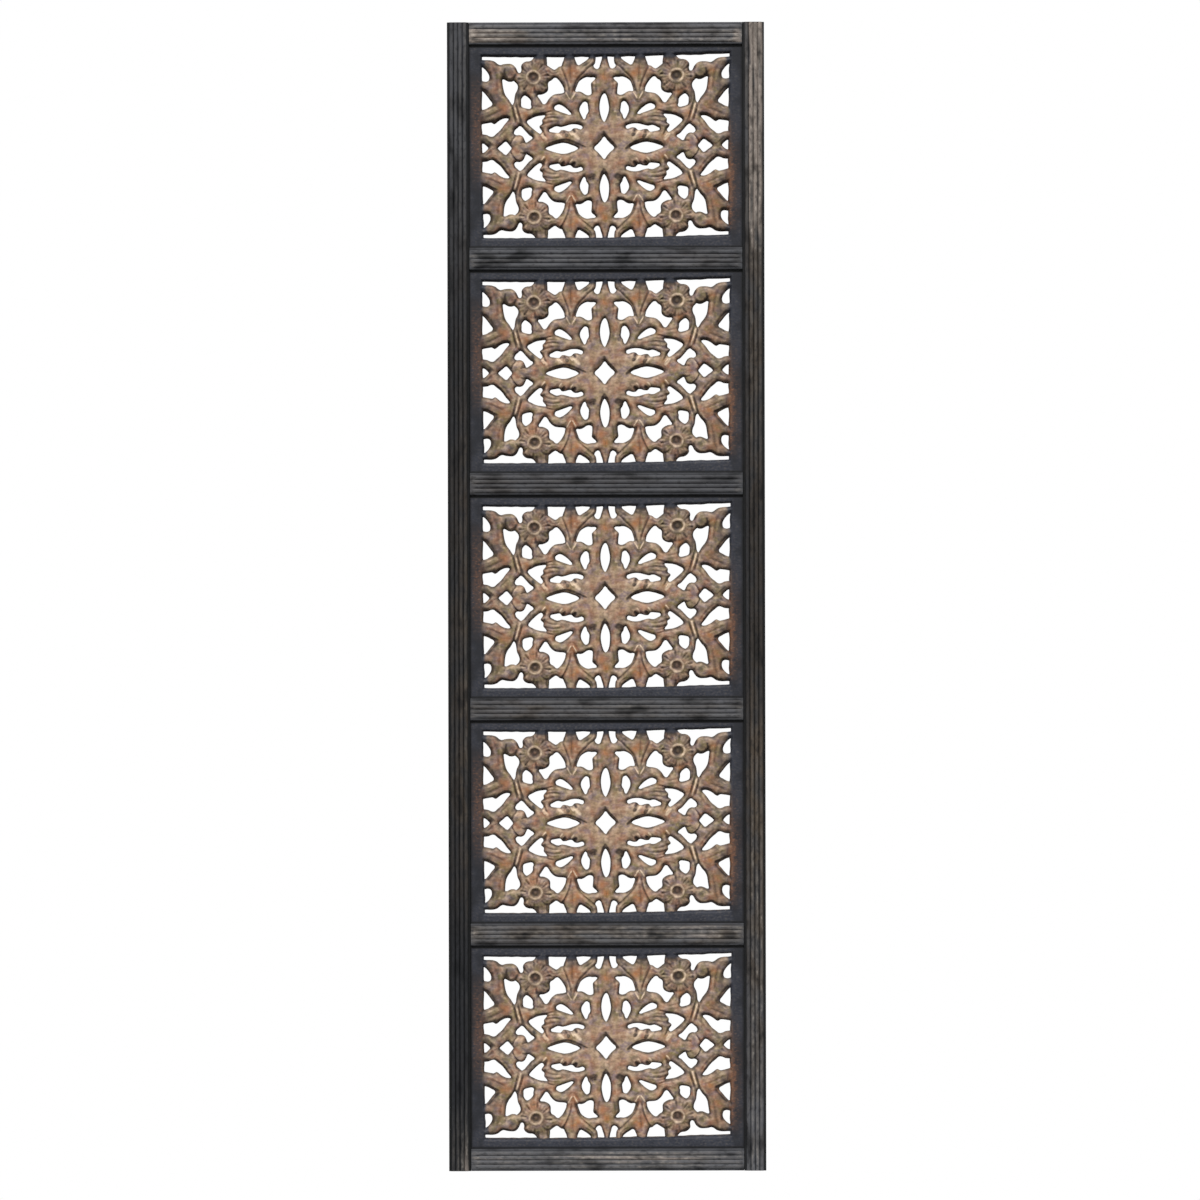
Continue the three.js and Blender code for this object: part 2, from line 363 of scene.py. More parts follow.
# The openings of the first quarter, named for where they lie or for what they look like.
GAPS: dict[str, Gap] = {
    "top_slit": Gap(
        ((4.6, 152), (14.2, 152), (14.6, 141), (15.5, 134.5), (17.6, 130.8), (16, 127), (11.7, 124.9),
         (8.8, 127), (6.9, 132.9), (4.8, 141))
    ),
    "top_notch": Gap(
        ((25.4, 152), (47.6, 152), (47.4, 141), (45.9, 136.7), (43.5, 132.1), (41, 131.3),
         (37.4, 133.2), (29.9, 138), (26, 142))
    ),
    "top_square": Gap(
        ((63.8, 152), (92.4, 152), (92.2, 142), (91.5, 135.6), (91.2, 131.6), (88.8, 129.7),
         (83.5, 126), (80.5, 124.4), (77.6, 125.5), (73.3, 128.7), (69.1, 130), (67.5, 134),
         (65, 140))
    ),
    "corner_sweep": Gap(
        ((111, 152), (206, 152), (206, 140.2), (198, 139.6), (192.7, 139.1), (186.3, 139.1),
         (181, 138.5), (175.7, 136.7), (170.3, 132.9), (166.6, 131.6), (161.3, 132.7),
         (154.9, 133.2), (149.5, 132.9), (145.3, 130.8), (141.5, 126.5), (138.9, 121.2),
         (137.3, 119.3), (135.1, 119.3), (133.3, 121.7), (133, 125.5), (133.5, 128.7),
         (132.5, 131.9), (129.3, 135.3), (125, 137.2), (119.8, 137.7), (116.2, 139.6),
         (113.2, 143.6))
    ),
    "corner_slit": Gap(
        ((184.6, 112), (185.6, 117), (188.6, 122), (192.5, 126.2), (198, 129.5), (206, 131),
         (206, 106.5), (196, 106), (190, 105.2), (186, 107))
    ),
    "side_triangle": Gap(
        ((206, 96), (197.5, 92), (193.3, 88.6), (189, 83.9), (183.5, 77), (180, 72.7), (179.3, 70),
         (180.5, 67.8), (185, 65.3), (190, 62.5), (196, 60.6), (206, 59))
    ),
    "side_gap": Gap(
        ((153, 47), (155, 48), (160, 47.8), (165, 46), (169, 43.8), (172.5, 41), (175, 39.3),
         (177, 38.8), (179, 40), (181.5, 41), (185, 40.5), (191, 39.3), (197, 38), (206, 37),
         (206, 22), (195.5, 21.9), (192, 21.5), (188, 20.8), (185, 19.3), (181, 18.3), (178, 19),
         (174, 22.5), (168, 27.5), (164, 32), (159.5, 38), (156, 42), (153.5, 45))
    ),
    "curl_gap": Gap(
        ((135, 36), (131.5, 34), (128, 30), (125, 26.5), (120, 21), (116, 18.5), (115, 16.5),
         (116.5, 14.3), (120, 12), (123, 10), (125.5, 9.3), (127, 11.5), (129, 16), (131, 19),
         (134, 20.8), (137, 21.3), (140.5, 21), (143, 22), (144.5, 24.5), (144, 27), (142, 30.5),
         (139, 33), (136.5, 35.3))
    ),
    "teardrop": Gap(
        ((138.6, 97.7), (139.9, 102), (143.1, 105.7), (145.3, 107.3), (147.9, 106.3),
         (153.3, 106.3), (157, 107.9), (161.3, 109.7), (163.1, 108.9), (162.9, 104.7),
         (161.8, 95.6), (160.2, 88.7), (157, 82.3), (152.7, 77), (150.1, 72.7), (147.2, 69),
         (144.7, 72.7), (143.7, 78), (142.1, 86), (139.4, 92.4))
    ),
    "stem_square": Gap(
        ((117.5, 75), (119.2, 78.5), (123, 82.2), (127.2, 84.4), (128.7, 83.9), (130.9, 81.7),
         (133, 78), (133.3, 73), (133.3, 69), (132, 65.8), (129, 64.3), (124, 63), (120, 62.5),
         (117.5, 63.5), (116.5, 66), (117.5, 70))
    ),
    "leaf_tip_gap": Gap(
        ((94.5, 52.5), (97, 52.8), (101, 52.3), (106.5, 51.5), (113, 49.5), (118, 47), (122, 45),
         (123.8, 42.5), (122.8, 40), (119.5, 36), (114, 31), (109, 27), (105, 24.3), (102.5, 23.5),
         (100.5, 25), (99.8, 27.5), (101, 30), (103, 32.5), (103.8, 34.5), (102.5, 36.3),
         (100, 38), (98.8, 40), (99.3, 43), (99, 45), (97, 47.5), (95, 50))
    ),
    "flower_gap": Gap(
        ((64.8, 92.4), (65.3, 95.6), (69.1, 103.6), (73.3, 109.2), (77.6, 112.4), (80.5, 111.8),
         (84, 108.4), (88.3, 105.7), (89.6, 103), (89.6, 95), (91, 91.3), (94.7, 88.1),
         (100.6, 85.7), (105.9, 85.2), (106.7, 83.3), (103.8, 79), (100, 73.7), (97.5, 70.5),
         (95, 70), (92.5, 72), (88.8, 78), (85.1, 82.2), (80.3, 85.4), (74.4, 86.5), (68, 87),
         (64.3, 88.6))
    ),
    "crown_gap": Gap(
        ((14.4, 110.8), (16.5, 112.4), (22.4, 112.6), (27.7, 113.2), (32, 112.1), (37.4, 108.9),
         (41.1, 105.2), (43.5, 99.8), (45.6, 93.4), (45.9, 90.2), (44.3, 89.4), (39.5, 89.7),
         (35.2, 88.1), (29.9, 84.6), (25.6, 83.6), (21.3, 85.4), (20.8, 89.7), (21.1, 96.6),
         (21.3, 102), (19.2, 104.9), (16.5, 107.3))
    ),
    "upright_lens": Gap(
        ((27, 72), (30, 74.3), (32.5, 74), (36, 70), (38.3, 66), (39.3, 61.5), (38.8, 57.5),
         (37, 53), (35, 49), (33, 46), (31.5, 46), (29.8, 48.5), (28.8, 52.5), (26.5, 56),
         (25.5, 59), (25.8, 64), (26.3, 69))
    ),
    "slanting_lens": Gap(
        ((52.5, 54), (53, 56), (56, 59.5), (60, 63.3), (65, 67), (69, 69.3), (73, 70.3),
         (77, 68.8), (79.8, 66.3), (80, 63.5), (78.5, 61), (74, 59.3), (69, 57.5), (64, 55.8),
         (60, 54.5), (55.5, 53))
    ),
    "long_slot": Gap(
        ((34.5, 32.5), (35, 35), (38, 36.5), (43.5, 38), (50, 38.5), (56, 37.8), (62.5, 36),
         (70, 34.5), (73.5, 35.3), (77, 35.5), (80.5, 34.3), (84, 32.3), (87.3, 30.5), (88, 28.5),
         (86.8, 26.3), (83.5, 25.5), (79, 24.8), (74, 24.3), (72, 24.8), (70.3, 27), (68.5, 28.8),
         (65, 29), (61.5, 28.3), (57.5, 27), (54, 27), (52, 28.5), (50, 30.5), (47, 31.3),
         (43, 31), (39.5, 29.8), (37, 29.5), (35, 31))
    ),
    "middle_diamond": Gap(((0, 18.2), (5, 12.5), (10, 7), (15, 2.5), (16, 0)), Mirror.BOTH),
    "upper_lens": Gap(
        ((0, 87.4), (2.8, 85), (5.2, 79.2), (6.4, 73.4), (7.2, 67.4), (7.4, 62), (6.3, 54.6),
         (4.6, 49.4), (2.4, 44.2), (0, 41.2)),
        Mirror.SIDEWAYS,
    ),
    "side_lens": Gap(
        ((41.5, 0), (44, 2.5), (47.5, 4.3), (52.5, 5.8), (57.5, 7.5), (62.5, 8.5), (68, 8.8),
         (73.5, 7.8), (80, 6.3), (86, 4.3), (91, 2.5), (94, 0)),
        Mirror.UPWARDS,
    ),
    "small_diamond": Gap(
        ((148.5, 0), (152, 5), (155, 8.5), (157.5, 10.5), (160.5, 9.5), (164, 6.5), (168, 3.5),
         (171, 0)),
        Mirror.UPWARDS,
    ),
    "edge_diamond": Gap(
        ((186.5, 0), (189.5, 4), (194, 7.4), (200, 8), (206, 8), (206, 0)), Mirror.UPWARDS
    ),
}

# The tool marks of the first quarter. Each has its tool, its path, its depth and its reach, and
# then its lean and its fade where they differ from the usual ones.
CUTS: dict[str, Cut] = {
    "spine_crease": Cut(CutKind.VEE, ((0, 142), (0, 122), (0, 102)), 0.8, 3.0),
    "collar_line": Cut(CutKind.VEE, ((12.5, 110), (14, 101), (13.4, 91), (10.2, 81)), 0.9, 2.6),
    "petal_line": Cut(
        CutKind.VEE,
        ((16, 132), (24, 127), (30, 121.5), (36, 116), (41.5, 110), (45.5, 103), (48, 95),
         (50.5, 87), (53.5, 80)),
        1.7, 2.8, 0.35, (0.1, 0.2),
    ),
    "tulip_crease": Cut(CutKind.VEE, ((55.5, 139), (55, 126), (54, 112), (53.6, 97)), 1.0, 3.6),
    "tulip_right_line": Cut(
        CutKind.VEE,
        ((71, 128.5), (66.5, 121), (62.3, 112), (59.3, 103), (57.3, 94), (54.8, 84)),
        1.7, 2.8, -0.35, (0.1, 0.2),
    ),
    "collar_left": Cut(CutKind.RIDGE, ((44.8, 90), (47.6, 84), (53.5, 74.5)), 1.5, 2.0),
    "collar_right": Cut(CutKind.RIDGE, ((63, 90), (59.8, 84), (53.8, 74.5)), 1.5, 2.0),
    "collar_below": Cut(
        CutKind.VEE, ((41, 86.5), (45, 80), (51, 72), (56, 71), (62, 79), (68, 84.5)), 0.8, 2.4
    ),
    "lens_side": Cut(CutKind.VEE, ((11.2, 76), (13.2, 68), (12.8, 58), (10.4, 48)), 0.8, 3.2),
    "curl_hollow": Cut(CutKind.GOUGE, ((20.5, 50.8), (25.5, 50.4)), 1.1, 3.8, 0.0, (0.1, 0.05)),
    "curl_lip": Cut(CutKind.RIDGE, ((15, 57.5), (19.5, 56), (24.5, 57)), 0.5, 2.6),
    "lobe_1": Cut(
        CutKind.GOUGE, ((51.2, 29.5), (48.8, 25.6), (45, 22.4)), 2.6, 3.6, -0.2, (0.02, 0.45)
    ),
    "lobe_1_rib": Cut(CutKind.RIDGE, ((56, 27.5), (53.4, 22), (49.6, 17.6)), 1.4, 2.2),
    "lobe_2": Cut(
        CutKind.GOUGE, ((68.8, 29), (66.4, 24.6), (62, 21.2)), 2.6, 3.6, -0.2, (0.02, 0.45)
    ),
    "lobe_2_rib": Cut(CutKind.RIDGE, ((73.4, 25), (71, 19.6), (67.2, 15.4)), 1.4, 2.2),
    "lobe_4": Cut(
        CutKind.VEE, ((98, 27), (95.6, 20.6), (91.4, 15.2)), 1.7, 2.4, -0.3, (0.02, 0.5)
    ),
    "lobe_4_rib": Cut(CutKind.RIDGE, ((102.4, 22.8), (98.8, 17.4), (94.6, 12.8)), 1.4, 2.0),
    "long_leaf_fold": Cut(
        CutKind.VEE, ((98, 45), (90, 48), (80, 48.6), (68, 46.8), (54, 45.4)), 1.4, 3.0, 0.2, (0.05, 0.6)
    ),
    "long_leaf_low_fold": Cut(
        CutKind.VEE, ((101, 36.5), (93, 39), (84, 41.6), (74, 41.6), (64, 41)), 1.2, 2.8, 0.2, (0.02, 0.6)
    ),
    "long_leaf_high_fold": Cut(
        CutKind.VEE, ((96, 51), (89, 52.6), (80, 53), (70, 51)), 1.0, 2.6, 0.0, (0.02, 0.6)
    ),
    "long_leaf_tail": Cut(CutKind.VEE, ((98, 38), (92.5, 39.4), (87, 41)), 0.9, 2.6, 0.0, (0.05, 0.5)),
    "branch_line": Cut(CutKind.VEE, ((80.5, 58.6), (88, 57.6), (97, 55), (104, 54.6)), 1.6, 2.2),
    "branch_back": Cut(CutKind.VEE, ((84, 76), (90, 69), (98, 65.5), (110, 66.5), (117, 69)), 0.9, 3.0),
    "stem_rib": Cut(
        CutKind.RIDGE, ((145.2, 69), (142.6, 61.5), (140.4, 53.5), (138.2, 46), (136.2, 38.5)),
        1.6, 2.6, 0.0, (0.08, 0.1),
    ),
    "stem_left": Cut(
        CutKind.VEE, ((142.2, 75), (139, 63.5), (136, 54), (133.4, 45), (131.2, 37)), 1.9, 2.9, 0.3
    ),
    "stem_right": Cut(
        CutKind.VEE, ((149.6, 71), (146.8, 61.5), (144.8, 53), (142.6, 45), (140.8, 36.5)),
        1.9, 2.9, -0.3,
    ),
    "corner_hook": Cut(
        CutKind.VEE, ((165, 121), (162.6, 115.5), (159, 111), (154.5, 107.8)), 1.5, 3.0, 0.3, (0.4, 0.05)
    ),
    "hook_under": Cut(
        CutKind.VEE, ((162, 108.6), (153, 105.6), (146.4, 103), (141.5, 97.5)), 0.7, 2.8, -0.2, (0.1, 0.3)
    ),
    "corner_midrib": Cut(
        CutKind.VEE, ((180.5, 133), (175, 120), (172, 106), (170.4, 93), (167.5, 80)), 1.1, 3.8
    ),
    "finger_over": Cut(
        CutKind.VEE, ((193, 93.5), (184, 84.5), (176.5, 75.5), (168, 68.5)), 1.7, 3.2, -0.3, (0.1, 0.5)
    ),
    "finger_under": Cut(
        CutKind.VEE, ((169, 69.5), (177, 65.8), (185, 61.8), (193, 58)), 1.5, 2.8, 0.3, (0.4, 0.1)
    ),
    "lower_finger_vein": Cut(CutKind.VEE, ((160, 60.5), (170, 57), (181, 52), (192, 47)), 1.1, 3.2),
    "cross_leg_vein": Cut(
        CutKind.VEE, ((147, 45), (152.5, 35.5), (160.5, 25.5), (171.5, 13.5)), 1.1, 3.6
    ),
    "trefoil_edge": Cut(
        CutKind.VEE, ((137.5, 22), (142.4, 17.4), (146.6, 12.4), (149.6, 6), (149.4, 0)),
        1.9, 2.4, 0.3, (0.05, 0.3),
    ),
    "trefoil_lobe": Cut(CutKind.VEE, ((127.5, 9), (132.5, 8.4), (137.5, 6)), 1.4, 2.4, 0.0, (0.02, 0.5)),
    "hub_vein": Cut(CutKind.VEE, ((172, 0), (179, 3.2), (186, 9), (193, 14.5)), 1.0, 3.0),
    "arc_stem_line": Cut(
        CutKind.VEE, ((136.5, 90), (137.4, 82), (137, 72), (134.6, 62.5)), 1.0, 2.4
    ),
    "bud_line": Cut(CutKind.VEE, ((110, 84), (110.6, 76), (109, 69.5)), 0.8, 2.8),
    "top_finger_left": Cut(CutKind.VEE, ((95.5, 146), (96, 137), (95, 128)), 1.5, 2.4, -0.3),
    "top_finger_right": Cut(CutKind.VEE, ((109.5, 146), (110.5, 139), (112.5, 133)), 1.5, 2.4, 0.3),
    "notch_root": Cut(CutKind.VEE, ((21, 146), (22.5, 137), (29, 131), (38, 127.5)), 1.2, 2.4),
    "shoulder_line": Cut(CutKind.VEE, ((72, 123), (78, 118.5), (86, 119), (91, 123.5)), 1.0, 2.4),
    "bridge_line": Cut(CutKind.VEE, ((84.5, 112.5), (90, 114.5), (93.5, 119)), 1.0, 2.2),
}


@dataclass(frozen=True)
class HandDrift:
    """How the hand-laid pattern strays from its mirror-true drawing, in mm at the field's edge.

    A place moves sideways by shift + bow_across u^2 + bow_up v^2 + twist u v, and upwards by its
    own shift + lean u + bow_across u^2 + bow_up v^2, where u and v are its shares of the half
    field.

    Attributes:
        sideways: the shift, the bow across, the bow up and the twist of the move sideways.
        upwards: the shift, the lean, the bow across and the bow up of the move upwards.
    """

    sideways: tuple[float, float, float, float] = (-2.28, 1.68, 1.19, 1.19)
    upwards: tuple[float, float, float, float] = (-2.13, 2.49, 2.49, 1.32)

    def undrawn(self, board: Array, half_field: Array) -> Array:
        """Takes places on the board back to the mirror-true drawing.

        The drift is small, so subtracting it at the last estimate four times is exact enough.

        Args:
            board: (n, 2) places on the board in mm.
            half_field: half the carved field's width and height in mm.

        Returns:
            (n, 2) places of the drawing in mm.
        """
        shift_x, bow_x, rise_x, twist = self.sideways
        shift_y, lean, bow_y, rise_y = self.upwards
        drawing = board.copy()
        for _ in range(4):
            u, v = (drawing / half_field).T
            drawing[:, 0] = board[:, 0] - (shift_x + bow_x * u * u + rise_x * v * v + twist * u * v)
            drawing[:, 1] = board[:, 1] - (shift_y + lean * u + bow_y * u * u + rise_y * v * v)
        return drawing


@dataclass(frozen=True)
class Flower:
    """One of the four flowers: a dished middle with a knob, a raised ring and creased petals.

    Attributes:
        place: its middle in the first quarter of the drawing, in mm.
        reach: the petals' reach in mm.
        rise: how far its middle would stand over the leaves without the dish, in mm.
        petals: how many petals there are.
        ring: the raised ring's radius in mm.
        ring_width: how far the ring spreads to each side of that, in mm.
        ring_rise: the ring's height in mm.
        dish: the dish's depth in mm.
        knob: the knob's radius in mm.
        knob_rise: the knob's height over the dish in mm.
        parting_depth: how deep the gaps between the petals are, in mm.
        line_depth: how deep the finer lines on the petals are, in mm.
    """

    place: tuple[float, float] = (113.5, 111.5)
    reach: float = 25.0
    rise: float = 1.5
    petals: int = 8
    ring: float = 10.2
    ring_width: float = 2.6
    ring_rise: float = 0.7
    dish: float = 3.2
    knob: float = 3.4
    knob_rise: float = 1.2
    parting_depth: float = 1.3
    line_depth: float = 0.6

    def shape(self, places: Array) -> tuple[Array, Array, Array, Array]:
        """Works out the flower's relief around its middle.

        The body swells as (1 - (r/reach)^2)^0.8. The ring is a rib (1 - (r/width)^2)^1.2 that runs
        slightly out of round, and the dish a hollow (1 - (r/ring)^2)^0.7 inside it, with a dome of
        the same form for the knob. The petals are parted by wedges that widen outwards where |sin|
        of half the petal angle is small, with three finer lines for each petal between them.

        Args:
            places: (n, 2) places of the folded drawing in mm.

        Returns:
            How far the surface stands proud of the leaves in mm, the ring's own share from 0 to 1,
            the dish's share, and the share of the gaps between the petals.
        """
        east, north = (places - self.place).T
        r, turn = np.hypot(east, north), np.arctan2(north, east)
        body = self.rise * np.clip(1 - (r / self.reach) ** 2, 0, 1) ** 0.8
        uneven = self.ring * (1 + 0.04 * np.sin(2 * turn + 0.7))
        ring = np.clip(1 - ((r - uneven) / self.ring_width) ** 2, 0, 1) ** 1.2
        dish = np.clip(1 - (r / (uneven - 1.6)) ** 2, 0, 1) ** 0.7
        knob = np.clip(1 - (r / self.knob) ** 2, 0, 1) ** 0.7
        petal = smoothstep(self.reach + 2, self.reach - 1, r)
        outside = smoothstep(self.ring + 2.5, self.ring + 9.0, r) * petal
        between = np.abs(np.sin(self.petals * turn / 2 + 0.5)) * r * 2 / self.petals
        fine = np.abs(np.sin(self.petals * 1.5 * turn + 1.5)) * r * 2 / (3 * self.petals)
        parting = np.clip(1 - between / (1.2 + 1.8 * outside), 0, 1) * outside
        proud = body + self.ring_rise * ring - self.dish * dish + self.knob_rise * knob
        proud = proud - self.parting_depth * parting
        lines = self.line_depth * np.clip(1 - fine / 1.5, 0, 1) * petal
        proud -= lines * smoothstep(self.ring + 1, self.ring + 4, r)
        return proud, ring, dish * (1 - 0.6 * knob), parting


@dataclass(frozen=True)
class Stain:
    """A soft-edged spot or stroke of colour.

    Attributes:
        path: its middle line in mm, of one point or more.
        radius: how far it spreads in mm.
        strength: how strong it is in the middle.
    """

    path: Points
    radius: float
    strength: float = 1.0

    def mark(self, places: Array, total: Array) -> None:
        """Adds the stain to a field, keeping the stronger one where stains meet.

        It is a bell exp(-(d/radius)^2) over the distance from its line.

        Args:
            places: (n, 2) places in mm, of the folded drawing or of the board.
            total: (n,) strengths so far, changed in place.
        """
        points = np.array(self.path, float)
        near = places_near(places, points, 2.5 * self.radius)
        if len(points) == 1:
            distance = np.hypot(*(places[near] - points[0]).T)
        else:
            distance = nearest_on_curve(places[near], smooth_curve(self.path, closed=False))[0]
        bell = self.strength * np.exp(-((distance / self.radius) ** 2))
        total[near] = np.maximum(total[near], bell)


def spots(radius: float, strength: float, *places: tuple[float, float]) -> tuple[Stain, ...]:
    """Makes round stains of one size at several places."""
    return tuple(Stain((place,), radius, strength) for place in places)


def strokes(radius: float, strength: float, *paths: Points) -> tuple[Stain, ...]:
    """Makes stains of one width along several paths."""
    return tuple(Stain(path, radius, strength) for path in paths)


# Stains of the first quarter, by the colour mask that they go to. They are mirrored with the
# drawing: scorched hollows and edges, dusky lobes and stems, and rust-brown places.
QUARTER_STAINS: dict[str, tuple[Stain, ...]] = {
    "scorch": (
        *spots(3.4, 1.0, (112, 139), (92, 92), (103, 88), (96, 129), (18, 101), (22, 81.5)),
        *spots(3.0, 1.0, (90, 93), (70, 126), (155, 51.5), (102, 34)),
        *spots(4.2, 0.8, (48, 136), (31, 135), (87, 125), (192, 18), (184, 5), (127, 88), (120, 49.5)),
        *spots(4.0, 0.7, (158, 113), (170, 25), (177, 43), (188, 57.5), (195, 134)),
        *spots(4.4, 0.6, (98, 41), (97, 33), (133, 119)),
        *strokes(
            2.8, 0.8, ((50.6, 28), (47.4, 24)), ((67.8, 28), (64.6, 23.6)), ((97.4, 25), (95, 20))
        ),
        *strokes(6.5, 0.95, ((177, 137), (186, 136), (197, 135))),
        *strokes(
            2.6, 1.05,
            ((140.5, 122), (147.5, 130), (155, 132.6), (168, 130.4), (180, 136.6), (190, 138),
             (199, 137)),
            ((199, 95), (188, 87.5), (180.5, 79), (174, 71.5)),
            ((175, 67), (183, 63.4), (192, 59.6), (198, 57.5)),
            ((141, 117), (147, 110), (154, 108.6), (161, 111.4)),
        ),
        *strokes(
            2.6, 0.85,
            ((183, 119), (182, 109), (186, 103.6), (197, 103.4)),
            ((152, 50.5), (160, 50.8), (168, 47.2), (176.5, 41.8)),
            ((157.5, 37), (165, 28.5), (172, 21.5), (178, 16.5)),
            ((133, 119), (131, 126), (128, 132), (118, 136)),
        ),
        *strokes(
            2.2, 0.7,
            ((22, 82), (34, 85.5), (43, 87.6)),
            ((26, 138), (36, 131.4), (44, 129.4)),
            ((98, 55), (112, 52.4), (122, 47.4)),
            ((131, 21), (127.4, 12)),
            ((124, 45), (118, 37), (108, 29), (102, 25)),
            ((65, 97), (70, 105), (76, 112)),
            ((92, 68), (86, 79), (79, 84.6)),
            ((162, 86), (157, 78), (149, 69)),
            ((141, 96), (144, 104), (154, 105), (163, 108)),
        ),
    ),
    "dusk": (
        *spots(9, 0.6, (151, 119), (127, 82)),
        *spots(7, 0.55, (93, 38), (88, 96), (14, 92), (62, 86)),
        *strokes(4.6, 0.9, ((134, 43), (124, 33), (113, 24)), ((144, 68), (138, 82), (139, 96))),
        *strokes(3.4, 0.5, ((32, 38), (40, 41.2), (50, 41.8), (60, 39.2), (72, 37.4), (85, 34))),
    ),
    "rust": (
        *spots(8, 1.0, (0, 112), (53, 122), (46, 116), (166, 64)),
        *spots(8, 0.7, (15, 72), (93, 17), (62, 16), (66, 118), (86, 62), (135, 52), (168, 100)),
        *spots(12, 0.4, (20, 24), (112, 112), (172, 50)),
    ),
}
# Stains of the board itself, in mm from its middle, where the halves differ. It is scorched in
# hollows below the middle, in the folds of the upper lobes, and at the top edge and corners, and
# thin lines of painted shade, with some scorch, lie over the upper sides of the middle openings. It
# is rustiest at the lower right, and rubbed pale on the upper lobes and on some leaves round the
# middle.
LONE_STAINS: dict[str, tuple[Stain, ...]] = {
    "scorch": (
        *strokes(4.0, 2.6, ((18.5, -47.6), (22, -49.6), (25.5, -52.4))),
        *strokes(3.6, 1.4, ((-27, -47.8), (-23, -46.6), (-19, -46.6))),
        *strokes(
            2.3, 2.4,
            ((49.6, 28), (47, 23), (43.6, 18.4)),
            ((66, 27), (64, 21), (61, 15)),
            ((-66, 25), (-64.6, 22), (-62, 17)),
            ((-42, 28), (-40, 25.6)),
        ),
        # Painted shade, with some scorch, over the upper left side of the middle diamond.
        *strokes(3.2, 0.6, ((-24, 1), (-14.5, 11), (-5, 21))),
        *strokes(
            5.5, 0.9,
            ((-110, 141), (-93, 142)),
            ((-62, 142), (-46, 142)),
            ((-3, 142), (3, 142)),
            ((45, 142), (61, 142)),
            ((92, 142), (108, 141)),
        ),
        *strokes(
            2.2, 1.0,
            ((-160, 124), (-161, 116), (-157, 109)),
            ((160, 124), (161, 116), (157, 109)),
        ),
        # Painted shade, with some scorch, in thin lines over the upper sides of the side lenses and the
        # middle diamond, over the top of the lower lens, and a spot at the diamond's top.
        *strokes(2.0, 1.5, ((33, -3), (40, 2.4), (50, 8.4), (64, 11), (76, 9.6), (89, 4.6))),
        *strokes(1.8, 1.5, ((-2.6, 20.4), (7, 10.6), (16.6, -0.6))),
        *strokes(
            1.6, 1.3, ((-90, 4.6), (-76, 9), (-63, 10.8), (-50, 7.2), (-41, 2.6), (-33, -1))
        ),
        *strokes(
            1.9, 0.9,
            ((-3, -36), (-6.8, -43), (-9, -52)),
            ((-2.6, -36), (1.8, -43), (4.6, -52)),
        ),
        *spots(2.4, 1.2, (-2.6, 22.4)),
        *spots(7.0, 0.45, (-151, 120), (151, 121), (184, 134), (-184, 134)),
        *spots(3.4, 1.0, (-20, -52), (-69, 23.5), (-98, 33), (-100, -36)),
    ),
    "rust": (
        *spots(8, 1.0, (91, 71), (117, 88), (169, 120), (133, 49), (39, -48), (-97, 41), (-127, 49)),
        *spots(9, 0.9, (-9, -100), (83, -76), (-58, 116), (-162, 61), (-160, -66), (-52, -82)),
        *spots(12, 0.9, (177, -89), (201, -45), (203, -78), (203, -112), (175, -118), (-119, -92)),
        *spots(8, 0.7, (54, -118), (-88, -64), (-38, -120), (-70, -120)),
    ),
    "rub": (
        *strokes(
            2.6, 0.85,
            ((54, 24.6), (50, 18.6), (44.6, 12.6)),
            ((72, 23), (68, 17), (63, 11.4)),
            ((101, 19), (94.6, 11.4)),
            ((-54, 22.6), (-49, 17), (-43, 12)),
            ((-78, 20.6), (-73, 16), (-67, 11.6)),
            ((-101, 18), (-95, 11.4)),
        ),
        *spots(6.0, 0.4, (-82, 82), (82, 82), (-62, 90), (62, 90), (-30, 22), (30, 22)),
    ),
}
# How much bare brown wood shows past the paint's straight edge at the left and at the right, as
# (height over the board's middle in mm, amount) pairs.
BARE_LEFT: Points = ((-75, 0), (-30, 0.5), (20, 0.65), (80, 0.5), (125, 0))
BARE_RIGHT: Points = ((-142, 0), (-122, 0.65), (-60, 1), (-35, 1), (0, 0.6), (30, 0.35), (66, 0))
# How far the side paint creeps inwards, as (distance from the middle's height, mm) pairs.
PAINT_CREEP: Points = ((0, -1), (66, 0), (110, 2), (145, 7))


@dataclass
class Relief:
    """The carved surface at a number of places, as (n,) arrays.

    Attributes:
        height: the surface's height over the board's face in mm.
        depth: how far inside the wood the place is, from the nearest opening's edge in mm.
        cut: how deep the tool marks go in mm.
        rib: how high the standing ribs rise in mm.
        apart: the distance from the flower's middle in the folded drawing, in mm.
        ring: the share of the flower's ring, from 0 to 1.
        dish: the share of its dish.
        parting: the share of the gaps between its petals.
    """

    height: Array
    depth: Array
    cut: Array
    rib: Array
    apart: Array
    ring: Array
    dish: Array
    parting: Array


